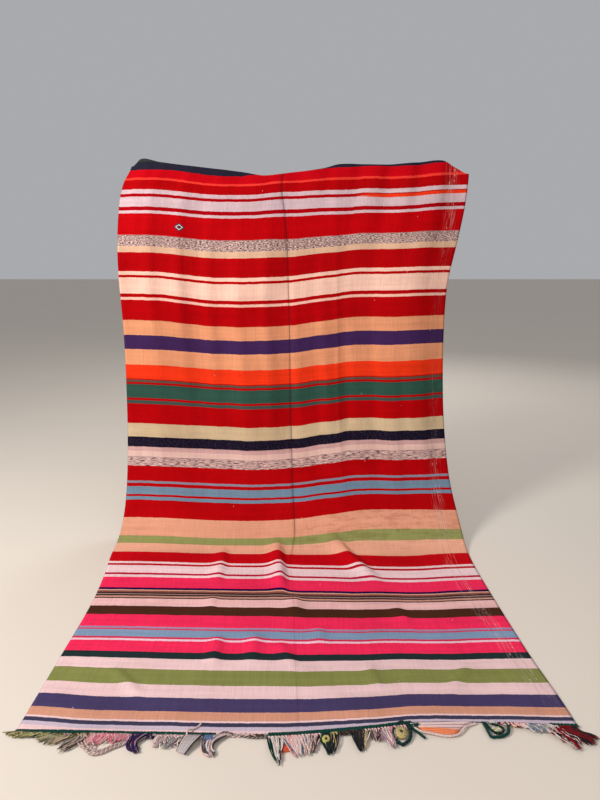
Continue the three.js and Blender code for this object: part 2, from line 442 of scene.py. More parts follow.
# From the near end to the end that hangs behind the line.
STRIPES = (
    Stripe(9, PALE_PINK), Stripe(12.5, LILAC), Stripe(13.8, SLATE_NAVY), Stripe(8.2, PALE_PINK),
    Stripe(33.6, TAN), Stripe(52.3, SLATE), Stripe(50.2, PALE_PINK), Stripe(68.2, OLIVE),
    Stripe(47.2, PALE_PINK), Stripe(34.7, TEAL), Stripe(54.1, HOT_PINK), Stripe(11.4, LILAC_WHITE),
    Stripe(10.6, CRIMSON), Stripe(36.7, SKY), Stripe(10, CRIMSON), Stripe(10, Dye(160, 140, 172)),
    Stripe(67.6, HOT_PINK), Stripe(53.2, BROWN), Stripe(49.7, PALE_ROSE),
    Stripe(9, DARK_BROWN), Stripe(8, Dye(204, 150, 132)), Stripe(10, DARK_BROWN, Weft.MOTTLED),
    Stripe(6, Dye(196, 158, 150)), Stripe(9, DARK_BROWN), Stripe(12, Dye(142, 82, 68), Weft.MOTTLED),
    Stripe(7.4, Dye(222, 162, 142)),
    Stripe(14.4, Dye(26, 8, 66)), Stripe(73.4, HOT_PINK), Stripe(16.4, WHITE_WOOL),
    Stripe(16, Dye(188, 24, 62)),
    Stripe(54.2, WHITE_WOOL), Stripe(14, Dye(188, 12, 36)), Stripe(16.7, WHITE_WOOL),
    Stripe(79.8, BRIGHT_RED), Stripe(71.8, Dye(238, 174, 144)), Stripe(44.8, SAGE), Stripe(90.4, SALMON),
    Stripe(85.7, RED), Stripe(11.4, BLUE_GREY), Stripe(12.8, RED), Stripe(35.6, BLUE_GREY),
    Stripe(12.8, RED), Stripe(11.4, Dye(130, 136, 152)), Stripe(72.3, RED),
    Stripe(40.7, SPECKLE, Weft.DASHED), Stripe(26, Dye(224, 188, 176)), Stripe(18.2, Dye(204, 162, 158)),
    Stripe(48.8, NAVY, Weft.MOTTLED), Stripe(58.2, KHAKI), Stripe(88.4, RED), Stripe(13.4, Dye(66, 82, 76)),
    Stripe(12.4, RED), Stripe(58.7, GREEN), Stripe(10.5, RED), Stripe(10.1, GREY_GREEN), Stripe(7.7, RED),
    Stripe(63.2, ORANGE), Stripe(74.2, PEACH), Stripe(58.4, PURPLE), Stripe(64.4, PEACH),
    Stripe(83.4, RED), Stripe(13, CREAM), Stripe(16.4, RED), Stripe(70.3, WARM_CREAM), Stripe(13.3, RED),
    Stripe(15.5, WARM_CREAM), Stripe(83.3, RED), Stripe(27.4, Dye(222, 180, 150)),
    Stripe(45.7, SPECKLE, Weft.SPECKLED), Stripe(92.2, Dye(186, 4, 12)), Stripe(13, MAUVE_WHITE),
    Stripe(12.6, Dye(168, 2, 14)), Stripe(39.4, MAUVE_WHITE), Stripe(14, Dye(168, 2, 14)),
    Stripe(15.6, MAUVE_WHITE),
    Stripe(35.8, RED), Stripe(8.2, Dye(238, 60, 48)), Stripe(28.9, BRIGHT_RED), Stripe(33, INK),
    Stripe(34, CHARCOAL), Stripe(70, RED), Stripe(14, MAUVE_WHITE), Stripe(12, RED), Stripe(38, MAUVE_WHITE),
    Stripe(12, RED), Stripe(70, RED), Stripe(90, OLIVE),
)


@dataclass(frozen=True)
class StripeChart:
    """Turns the row of stripes into colour by how far along the weaving a place is."""

    stripes: tuple[Stripe, ...]
    ramp_stops: int = 30
    ramp_tail: float = 0.1
    edge_softness: float = 0.0004

    def edges(self) -> list[tuple[float, Stripe]]:
        """Lays the stripes one after another.

        Returns:
            Where each begins, in metres from the near end, with the stripe.
        """
        begun = []
        along = 0.0
        for stripe in self.stripes:
            begun.append((along, stripe))
            along += stripe.width / 1000
        return begun

    def colour(self, bench: NodeBench, along: object) -> Socket:
        """Looks up the dye with as many hard-edged ramps as it takes.

        Args:
            bench: the cloth's nodes.
            along: the socket that holds metres along the weaving.

        Returns:
            The colour's socket.
        """
        edges = self.edges()
        colour = None
        for first in range(0, len(edges), self.ramp_stops):
            run = edges[first:first + self.ramp_stops]
            start = run[0][0]
            length = run[-1][0] - start + self.ramp_tail
            place = bench.math("DIVIDE", bench.math("SUBTRACT", along, start), length)
            dyed = bench.bands(place, [((begun - start) / length, stripe.dye) for begun, stripe in run])
            past = bench.math("GREATER_THAN", along, start)
            colour = dyed if colour is None else bench.blend(past, colour, dyed)
        return colour

    def mask(self, bench: NodeBench, along: object, weft: Weft) -> Socket:
        """Is 1 inside the stripes woven in one way.

        Args:
            bench: the cloth's nodes.
            along: the socket that holds metres along the weaving.
            weft: the way to look for.

        Returns:
            The mask's socket.
        """
        inside = [bench.band(along, begun, begun + stripe.width / 1000, self.edge_softness)
                  for begun, stripe in self.edges() if stripe.weft is weft]
        return reduce(partial(bench.math, "ADD"), inside)


@dataclass(frozen=True)
class DiamondMark:
    """A small woven diamond: its middle across and along the weaving, and its half sizes."""

    across: float = 0.272
    along: float = 2.495
    half_width: float = 0.024
    half_length: float = 0.018
    rings: tuple[tuple[float, Dye], ...] = (
        (0.0, Dye(120, 10, 20)), (0.26, Dye(34, 26, 36)), (0.46, Dye(236, 222, 214)),
        (0.66, Dye(84, 96, 122)), (0.84, Dye(34, 32, 46)),
    )

    def over(self, bench: NodeBench, colour: object, across: object, along: object) -> Socket:
        """Lays the diamond over the stripes.

        Args:
            bench: the cloth's nodes.
            colour: the stripes' colour.
            across: metres across the cloth.
            along: metres along the weaving.

        Returns:
            The colour with the diamond in it.
        """
        aside = bench.math("DIVIDE", bench.away(across, self.across), self.half_width)
        above = bench.math("DIVIDE", bench.away(along, self.along), self.half_length)
        reach = bench.math("ADD", aside, above)
        return bench.blend(bench.math("LESS_THAN", reach, 1.0), colour, bench.bands(reach, self.rings))


@dataclass(frozen=True)
class WovenFinish:
    """The look of the cloth: its stripes, mixed yarns, rubbed lines, painted shade along the crease and the
    side edges, and relief.
    """

    effects: SharedEffects
    chart: StripeChart = StripeChart(STRIPES)
    diamond: DiamondMark = DiamondMark()
    rib: float = 0.005
    weft: float = 0.0017
    redyed: tuple[float, float] = (2.6065, 2.6195)
    spared: tuple[float, float] = (1.40, 2.40)
    stained: tuple[float, float] = (1.04, 1.20)
    tick_cells: tuple[float, float, float] = (16.0, 14.0, 1.0)
    # Width of the painted shade along each side edge.
    edge_shade_width: float = 0.005

    def material(self, cloth_width: float) -> bpy.types.Material:
        """Makes the cloth's material.

        Args:
            cloth_width: the flat width, which puts the selvedges.

        Returns:
            The material, which reads the weave map and the wear kept at each vertex.
        """
        material, bench = new_material("striped kilim wool")
        place = bench.map(WEAVE_MAP)
        across, along, _ = bench.parts(place)
        wander = bench.math("SUBTRACT", bench.noise(place, (26.0, 6.0, 1.0), 3.0, 0.65), 0.5)
        beat = bench.math("SUBTRACT", bench.noise(place, (230.0, 40.0, 1.0), 1.0), 0.5)
        woven = bench.line(beat, 0.0022, bench.line(wander, 0.005, along))
        colour = self.mixed_yarns(bench, self.chart.colour(bench, woven), place, woven)
        colour = self.diamond.over(bench, colour, across, along)
        sockets = {"Place": place, "Rib Spacing": self.rib, "Weft Spacing": self.weft}
        weave = bench.add("ShaderNodeGroup", sockets, node_tree=self.effects.weave)
        # The weave's tone brings its painted groove shade into the colour, and worn() adds painted shade along
        # the crease, beside the rubbed lines and along the side edges.
        colour = self.worn(bench, bench.toned(colour, weave.outputs["Tone"]), place, cloth_width)
        shade = WoolShade(self.effects, specular=0.03, soil=0.22, relief=0.0009)
        shade.close(material, bench, colour, weave.outputs["Height"])
        return material

    def mixed_yarns(self, bench: NodeBench, colour: object, place: object, woven: object) -> Socket:
        """Breaks the stripes that are woven of mixed yarns into flecks.

        Args:
            bench: the cloth's nodes.
            colour: the plain stripes.
            place: across and along the cloth, in metres.
            woven: metres along the weaving.

        Returns:
            The colour with its flecks.
        """
        fleck = bench.noise(place, (100.0, 360.0, 1.0), 2.0, 0.7)
        dyed = bench.blend(bench.step(fleck, 0.52, 0.56), SPECKLE, Dye(232, 204, 188))
        dyed = bench.blend(bench.step(fleck, 0.47, 0.43), dyed, Dye(70, 54, 66))
        colour = bench.blend(self.chart.mask(bench, woven, Weft.SPECKLED), colour, dyed)
        dash = bench.noise(place, (36.0, 400.0, 1.0), 2.0, 0.6)
        dyed = bench.blend(bench.step(dash, 0.47, 0.51), Dye(152, 112, 118), Dye(222, 188, 176))
        dyed = bench.blend(bench.step(dash, 0.45, 0.41), dyed, Dye(66, 50, 66))
        colour = bench.blend(self.chart.mask(bench, woven, Weft.DASHED), colour, dyed)
        right = bench.step(bench.parts(place)[0], 1.00, 1.12)
        colour = bench.blend(bench.times(bench.band(woven, *self.redyed, 0.0008), right), colour, ORANGE)
        nap = bench.times(self.chart.mask(bench, woven, Weft.MOTTLED), bench.step(fleck, 0.56, 0.66), 0.5)
        return bench.blend(nap, colour, Dye(96, 84, 108))

    def worn(self, bench: NodeBench, colour: object, place: object, cloth_width: float) -> Socket:
        """Adds rubbed lines with a thin painted shade beside them, pale threads, a stain, stray ticks, painted
        shade along the middle crease and painted shade along both side edges.

        Args:
            bench: the cloth's nodes.
            colour: the stripes.
            place: across and along the cloth, in metres.
            cloth_width: the flat width.

        Returns:
            The worn colour.
        """
        across, along, _ = bench.parts(place)
        away = bench.value_of("rubbed")
        bared = bench.line(bench.band(along, *self.spared, 0.1), -0.8, 1.0)
        bared = bench.times(bared, bench.step(along, 0.06, 0.16))
        # Painted shade: a thin dark line 3 to 5 mm beside each rubbed line.
        furrow_shade = bench.times(bench.band(away, 0.003, 0.005, 0.001), 0.13)
        colour = bench.blend(furrow_shade, colour, Dye(40, 26, 40))
        dots = bench.step(bench.noise(place, (150.0, 120.0, 1.0), 1.0), 0.50, 0.60)
        dots = bench.times(bench.step(away, 0.004, 0.001), dots, 0.52, bared)
        colour = bench.blend(dots, colour, Dye(236, 200, 194))
        threads = bench.step(bench.noise(place, (240.0, 9.0, 1.0), 2.0, 0.6), 0.50, 0.62)
        haze = bench.times(bench.step(away, 0.026, 0.004), threads, bared, 0.16)
        colour = bench.blend(haze, colour, Dye(232, 206, 196))
        blotch = bench.step(bench.noise(place, (12.0, 34.0, 1.0), 3.0, 0.65), 0.46, 0.64)
        spot = bench.times(bench.band(along, *self.stained, 0.05), bench.step(across, 0.66, 0.90))
        stain = bench.times(spot, blotch, 0.30)
        colour = bench.blend(stain, colour, Dye(176, 132, 104), "MULTIPLY")
        colour = bench.blend(self.ticks(bench, place), colour, Dye(238, 214, 206))
        # Painted shade: a sharp dark line on the middle crease with a softer dark band beside it, weak on the
        # floor and stronger where the cloth hangs.
        beside = bench.math("ABSOLUTE", bench.value_of("creased"))
        shade = bench.line(bench.step(beside, 0.016, 0.0), 0.35, bench.step(beside, 0.0045, 0.0))
        crease_shade_strength = bench.line(bench.step(along, 0.85, 1.20), 0.38, 0.10)
        colour = bench.blend(bench.times(shade, crease_shade_strength), colour, Dye(36, 14, 18))
        # Painted shade: a darker band, 5 mm wide, along both side edges of the cloth.
        middle = cloth_width / 2
        edge = bench.times(bench.step(bench.away(across, middle), middle - self.edge_shade_width, middle), 0.25)
        return bench.blend(edge, colour, Dye(60, 30, 34))

    def ticks(self, bench: NodeBench, place: object) -> Socket:
        """Strews short pale ticks, one in some of the cells that the cloth is divided into.

        Args:
            bench: the cloth's nodes.
            place: across and along the cloth, in metres.

        Returns:
            How much of a tick shows.
        """
        cells = bench.stretched(place, self.tick_cells)
        cell = bench.add("ShaderNodeTexVoronoi", {"Vector": cells, "Scale": 1.0, "Randomness": 1.0})
        gap = bench.vector("SUBTRACT", cells, cell.outputs["Position"]).outputs[0]
        reach = bench.vector("LENGTH", bench.stretched(gap, (2.4, 1.0, 1.0))).outputs["Value"]
        chosen = bench.math("GREATER_THAN", bench.parts(cell.outputs["Color"])[0], 0.66)
        return bench.times(bench.step(reach, 0.055, 0.03), chosen, 0.7)


# --------------------------------------------------------------------------------------------------
# The cloth's shape
# --------------------------------------------------------------------------------------------------


def eased(low: float, high: float, place: np.ndarray | float) -> np.ndarray:
    """Rises smoothly from 0 at low to 1 at high."""
    share = np.clip((np.asarray(place, float) - low) / (high - low), 0.0, 1.0)
    return share * share * (3 - 2 * share)


@dataclass(frozen=True)
class Stations:
    """A value that passes smoothly through a few chosen points, and is level at both ends."""

    points: tuple[tuple[float, float], ...]

    def at(self, place: np.ndarray | float) -> np.ndarray:
        """Reads the value.

        Args:
            place: where to read it.

        Returns:
            The value at each place.
        """
        spots, values = np.array(self.points, float).T
        where = np.clip(np.asarray(place, float), spots[0], spots[-1])
        slopes = np.zeros(len(spots))
        slopes[1:-1] = (values[2:] - values[:-2]) / (spots[2:] - spots[:-2])
        index = np.clip(np.searchsorted(spots, where, side="right") - 1, 0, len(spots) - 2)
        span = spots[index + 1] - spots[index]
        share = (where - spots[index]) / span
        rise = values[index + 1] - values[index]
        leave = slopes[index] * span - rise
        arrive = rise - slopes[index + 1] * span
        return values[index] + share * rise + share * (1 - share) * (leave * (1 - share) + arrive * share)


@dataclass(frozen=True)
class Wave:
    """A set of upright folds: waves across the cloth, how deep, and how far they are shifted."""

    waves: float
    depth: float
    shift: float

    def depth_at(self, across: np.ndarray) -> np.ndarray:
        """Gives the folds' depth at each place from -1 to 1."""
        return self.depth * np.cos(math.pi * (self.waves * across + 2 * self.shift))


@dataclass(frozen=True)
class Ridge:
    """A raised fold in the lying cloth, from one floor point to another."""

    start: tuple[float, float]
    end: tuple[float, float]
    height: float
    half_width: float
    right_side: float = 1.0

    def lift(self, x: np.ndarray, y: np.ndarray) -> np.ndarray:
        """Raises the cloth along the ridge.

        Args:
            x: across the floor.
            y: back from the near end.

        Returns:
            How high it lifts each floor point.
        """
        run_x, run_y = self.end[0] - self.start[0], self.end[1] - self.start[1]
        length = math.hypot(run_x, run_y)
        gone_x, gone_y = x - self.start[0], y - self.start[1]
        along = (gone_x * run_x + gone_y * run_y) / length**2
        aside = (gone_y * run_x - gone_x * run_y) / length / self.half_width
        aside = np.where(aside > 0, aside / self.right_side, aside)
        ends = eased(-0.12, 0.22, along) * (1 - eased(0.55, 1.1, along))
        return self.height * ends * np.exp(-aside * aside)


@dataclass(frozen=True)
class Crease:
    """A sharp fold line from storage: where it runs across the cloth and how deep it is, along it."""

    across: Stations
    half_width: float
    depth: Stations

    def press(self, across: np.ndarray, along: np.ndarray) -> np.ndarray:
        """Gives how far the cloth is pressed in at each place."""
        aside = np.abs(across - self.across.at(along)) / self.half_width
        return self.depth.at(along) * np.exp(-aside)


@dataclass
class Drape:
    """The way the cloth runs: flat on the floor, up in one bend, and over a thin line to hang behind."""

    width: float = 1.5
    length: float = 3.02
    thickness: float = 0.003
    hang_y: float = 1.332
    lean_factor: float = 1.3
    curve_power: float = 1.25
    hang_slope: float = math.radians(89)
    fold_radius: float = 0.0033
    step: float = 0.005
    near_end: Stations = Stations(((-1, 0.012), (-0.5, 0.004), (-0.1, 0), (0.25, 0.025), (0.45, 0.045),
                                   (0.75, 0.042), (1, 0.031)))
    touchdown: Stations = Stations(((-1, 1.027), (-0.2, 1.012), (0.3, 0.967), (1, 0.947)))
    crest_height: Stations = Stations((
        (-1, 1.598), (-0.94, 1.627), (-0.82, 1.611), (-0.5, 1.586), (-0.33, 1.573), (-0.13, 1.558),
        (0.1, 1.575), (0.19, 1.586), (0.27, 1.603), (0.5, 1.601), (0.7, 1.609), (0.84, 1.616), (0.92, 1.59),
        (1, 1.566)))
    left_edge: Stations = Stations((
        (0, -0.755), (0.32, -0.755), (0.6, -0.757), (0.8, -0.774), (1.0, -0.8), (1.3, -0.8), (2.0, -0.785),
        (2.4, -0.792), (2.6, -0.778), (2.68, -0.757), (2.77, -0.713)))
    right_edge: Stations = Stations((
        (0, 0.746), (0.32, 0.725), (0.8, 0.71), (1.1, 0.713), (1.35, 0.68), (1.7, 0.652),
        (2.0, 0.642), (2.2, 0.648), (2.4, 0.684), (2.56, 0.708), (2.7, 0.713)))
    folds: tuple[Wave, ...] = (Wave(2.3, 0.009, 0.1), Wave(4.2, 0.006, 0.45))
    fine_folds: tuple[Wave, ...] = (
        Wave(11.1, 0.0042, 0.4725), Wave(6.9, 0.0016, 0.55), Wave(23.0, 0.0009, 0.2))
    fine_sway: tuple[float, float] = (0.018, 4.2)
    fine_strength: tuple[float, float, float, float] = (0.75, 0.45, 3.1, 5.0)
    folds_start: float = 1.05
    folds_full: float = 1.7
    folds_fade: float = 2.25
    folds_top: float = 2.7
    folds_at_line: float = 0.2
    left_curl: float = 0.034
    curl_width: float = 0.16
    edge_turn: float = 0.014
    right_edge_turn: float = 0.02
    ridges: tuple[Ridge, ...] = (
        Ridge((-0.1, 1.08), (-0.062, 0.64), 0.022, 0.038, 0.5),
        Ridge((0.15, 1.08), (0.31, 0.735), 0.02, 0.04, 0.55),
        Ridge((-0.325, 1.02), (-0.318, 0.72), 0.011, 0.032, 0.6),
        Ridge((0.34, 0.6), (0.38, 0.45), 0.007, 0.03, 0.6),
        Ridge((-0.02, 0.66), (-0.01, 0.52), 0.009, 0.034, 0.7),
        Ridge((-0.318, 0.66), (-0.316, 0.56), 0.006, 0.026, 0.6),
        Ridge((-0.27, 0.42), (-0.268, 0.26), 0.009, 0.028, 0.6),
        Ridge((-0.147, 0.43), (-0.15, 0.28), 0.008, 0.028, 0.8),
        Ridge((-0.07, 0.38), (-0.01, 0.25), 0.007, 0.026, 0.7),
        Ridge((0.06, 0.47), (0.07, 0.36), 0.006, 0.032, 0.7),
        Ridge((-0.566, 0.254), (-0.446, 0.132), 0.007, 0.02, 0.7),
        Ridge((0.52, 0.269), (0.42, 0.138), 0.007, 0.02, 0.7),
        Ridge((0.214, 0.28), (0.232, 0.16), 0.005, 0.024, 0.7),
    )
    creases: tuple[Crease, ...] = (
        Crease(Stations(((0, 0), (0.9, 0), (1.15, 0.03), (2.1, 0.035), (2.3, 0.016), (2.5, -0.022),
                         (2.7, -0.075), (3.02, -0.075))), 0.008,
               Stations(((0, 0), (0.6, 0.0006), (1.0, 0.0012), (1.35, 0.0026), (3.02, 0.003)))),
        Crease(Stations(((0, 0.33), (2.1, 0.33), (2.5, 0.265), (2.7, 0.23), (3.02, 0.23))), 0.016,
               Stations(((0, 0), (1.1, 0), (1.5, -0.0034), (3.02, -0.003)))),
    )
    right_sag: Stations = Stations(((-0.15, 0), (0.05, 0.3), (0.2, 0.52), (0.35, 0.8), (0.55, 1), (0.7, 0.93),
                                    (0.85, 0.68), (1, 0.5)))
    right_sag_depth: Stations = Stations((
        (0, 0.018), (0.1, 0.028), (0.25, 0.045), (0.5, 0.06), (0.75, 0.073), (0.9, 0.068), (1.0, 0.038),
        (1.12, 0.014), (1.25, 0.03), (1.5, 0.028), (1.7, 0.04), (2.0, 0.034), (2.3, 0.037), (2.5, 0.056),
        (2.7, 0.046)))
    left_lift_depth: Stations = Stations((
        (0, 0), (0.3, 0.003), (0.7, 0), (0.9, 0.008), (1.1, 0.01), (1.6, 0.012), (1.8, 0.021), (2.0, 0.018),
        (2.15, 0.027), (2.35, 0.022), (2.6, 0.016), (2.72, 0.022)))
    crease_pull: float = 0.22
    wear_and_shade_reach: float = 0.05
    bend_span: tuple[float, float] = (0.22, 0.42)
    worn_lines: tuple[Stations, ...] = (
        Stations(((0, 1.459), (0.2, 1.448), (0.45, 1.425), (0.65, 1.406), (1.0, 1.401), (1.3, 1.418),
                  (1.6, 1.444), (2.0, 1.448), (2.3, 1.452), (2.5, 1.433), (2.7, 1.414), (3.02, 1.414))),
        Stations(((0, 1.48), (0.2, 1.471), (0.45, 1.451), (0.65, 1.432), (1.0, 1.424), (1.3, 1.44),
                  (1.6, 1.462), (2.0, 1.466), (2.3, 1.468), (2.5, 1.452), (2.7, 1.438), (3.02, 1.438))),
    )

    def runs(self, across: np.ndarray) -> tuple[np.ndarray, ...]:
        """Works out the lengthwise line of each column of the cloth.

        Args:
            across: each column's place, from -1 at the left edge to 1 at the right.

        Returns:
            The distances along, each column's y and z there, its lying length and where its crest starts.
        """
        near = self.near_end.at(across)[:, None]
        lying = self.touchdown.at(across)[:, None] - near
        bend = (self.hang_y - near - lying) / self.lean_factor
        steps = int(1.1 * self.length / self.step)
        middle = (np.arange(steps) + 0.5) * self.step
        past = np.maximum(middle[None, :] - lying, 0) / bend
        slope = self.hang_slope * (1 - np.exp(-past**self.curve_power))
        start = np.zeros((len(across), 1))
        y = near + np.concatenate([start, np.cumsum(self.step * np.cos(slope), axis=1)], axis=1)
        z = self.thickness / 2 + np.concatenate([start, np.cumsum(self.step * np.sin(slope), axis=1)], axis=1)
        along = np.arange(steps + 1) * self.step
        top = self.crest_height.at(across) - self.thickness / 2 - self.fold_radius
        crest = np.array([np.interp(top[i], z[i], along) for i in range(len(across))])
        return along, y, z, lying[:, 0], crest

    def fold_depth(self, across: np.ndarray, along: np.ndarray) -> np.ndarray:
        """Adds up the folds, the turned edges, the curled corner and the creases.

        Args:
            across: from -1 to 1.
            along: metres from the near end.

        Returns:
            How far the hanging cloth stands forward of its line at each place.
        """
        sway, sway_turn = self.fine_sway
        usual, swell, swell_across, swell_along = self.fine_strength
        rise = eased(self.folds_start, self.folds_full, along)
        top = eased(self.folds_fade, self.folds_top, along)
        fade = 1 - (1 - self.folds_at_line) * top
        depth = np.zeros(np.broadcast(across, along).shape)
        for wave in self.folds:
            depth = depth + rise * fade * wave.depth_at(across)
        for wave in self.fine_folds:
            swing = across + sway * np.sin(sway_turn * along + wave.waves)
            strength = usual + swell * np.sin(swell_across * across + swell_along * along + wave.waves)
            depth = depth + rise * strength * wave.depth_at(swing)
        depth = depth - self.edge_turn * rise * (1 - eased(-1, -0.84, across)) ** 2
        depth = depth - self.right_edge_turn * rise * eased(0.82, 1, across) ** 1.5
        depth = depth - self.left_curl * top * (1 - eased(-1, -1 + self.curl_width, across)) ** 2
        for crease in self.creases:
            depth = depth - crease.press(across, along)
        return depth

    def weave_place(self, across: np.ndarray, along: np.ndarray) -> np.ndarray:
        """Says which row of the weaving lies at a distance along, as the stripes sag and pull out of square.

        Args:
            across: from -1 to 1.
            along: metres from the near end.

        Returns:
            Metres along the weaving.
        """
        sag = self.right_sag.at(across) * self.right_sag_depth.at(along)
        lift = eased(-0.4, -0.8, across) * self.left_lift_depth.at(along)
        corner = 0.012 * eased(-0.75, -1.0, across) * (1 - eased(0.1, 0.4, along))
        crown = 0.0045 * eased(-0.31, -0.29, across) * eased(2.684, 2.696, along)
        crown = crown + 0.009 * eased(0.05, 0.3, across) * eased(2.62, 2.69, along)
        return along + sag - lift - corner - crown

    def rubbed(self, across: np.ndarray, woven: np.ndarray) -> np.ndarray:
        """Finds the nearest rubbed line.

        Args:
            across: from -1 to 1.
            woven: metres along the weaving.

        Returns:
            The distance to it, in metres, at most 5 cm.
        """
        place = (across + 1) / 2 * self.width
        gaps = [np.abs(place - line.at(woven)) for line in self.worn_lines]
        return np.minimum(np.minimum.reduce(gaps), self.wear_and_shade_reach)

    def creased(self, across: np.ndarray, along: np.ndarray) -> np.ndarray:
        """Gives how far right of the middle crease a place is, in metres, at most 5 cm either way; the crease's
        painted shade is placed by it.
        """
        aside = (across - self.creases[0].across.at(along)) * self.width / 2
        return np.clip(aside, -self.wear_and_shade_reach, self.wear_and_shade_reach)

    def followed(self, place: float, along: np.ndarray) -> np.ndarray:
        """Bends a column of the cloth so that the columns nearest the middle crease run along it."""
        return place + self.creases[0].across.at(along) * math.exp(-((place / self.crease_pull) ** 2))

    def grid(self, across: np.ndarray, rows: dict[str, int]) -> tuple[np.ndarray, np.ndarray, np.ndarray]:
        """Works out the middle surface of the cloth.

        Args:
            across: the columns, from -1 to 1.
            rows: how many cells each lengthwise section has.

        Returns:
            The points, rows by columns by 3, and at each the metres along and the place across.
        """
        line_along, line_y, line_z, lying, crest = self.runs(across)
        turn = math.pi * self.fold_radius
        before, after = self.bend_span
        lines = []
        for column, place in enumerate(across):
            stops = [0.0, lying[column] - before, lying[column] + after, crest[column], crest[column] + turn,
                     self.length]
            parts = [np.linspace(*ends, count, endpoint=False)
                     for *ends, count in zip(stops[:-1], stops[1:], rows.values())]
            along = np.append(np.concatenate(parts), self.length)
            past = along - crest[column]
            angle = np.clip(past / turn, 0, 1) * math.pi
            front = np.where(past > 0, crest[column] - np.maximum(past - turn, 0), along)
            left, right = self.left_edge.at(front), self.right_edge.at(front)
            wide = self.followed(place, along)
            x = left + (right - left) * (wide + 1) / 2
            y = np.interp(front, line_along, line_y[column]) - self.fold_depth(wide, front)
            z = np.interp(front, line_along, line_z[column])
            z = z + sum(ridge.lift(x, y) for ridge in self.ridges)
            y = y + self.fold_radius * (1 - np.cos(angle))
            z = z + self.fold_radius * np.sin(angle)
            lines.append(np.stack([x, y, z, along, wide], axis=1))
        sheet = np.stack(lines, axis=1)
        return sheet[..., :3], sheet[..., 3], sheet[..., 4]


# --------------------------------------------------------------------------------------------------
# Meshes
# --------------------------------------------------------------------------------------------------


def add_piece(name: str, points: np.ndarray, faces: list, materials: list[bpy.types.Material],
              shift: np.ndarray, maps: dict[str, np.ndarray]) -> bpy.types.Object:
    """Makes a smooth mesh object in the part's frame.

    Args:
        name: the piece's name.
        points: its vertices in the design frame.
        faces: the vertex numbers of each face.
        materials: its materials, in slot order.
        shift: from the design frame to the part's frame.
        maps: UV maps by name, one pair for each face corner.

    Returns:
        The new object, linked to the scene and riding on the rug's body.
    """
    mesh = bpy.data.meshes.new(name)
    mesh.from_pydata((points + shift).tolist(), [], faces)
    for label, pairs in maps.items():
        layer = mesh.uv_layers.new(name=label, do_init=False)
        layer.uv.foreach_set("vector", pairs.astype(np.float32).ravel())
    for material in materials:
        mesh.materials.append(material)
    mesh.shade_smooth()
    piece = bpy.data.objects.new(name, mesh)
    bpy.context.scene.collection.objects.link(piece)
    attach(piece, BODY)
    LOG.info("%s: %d vertices, %d faces", name, len(mesh.vertices), len(mesh.polygons))
    return piece


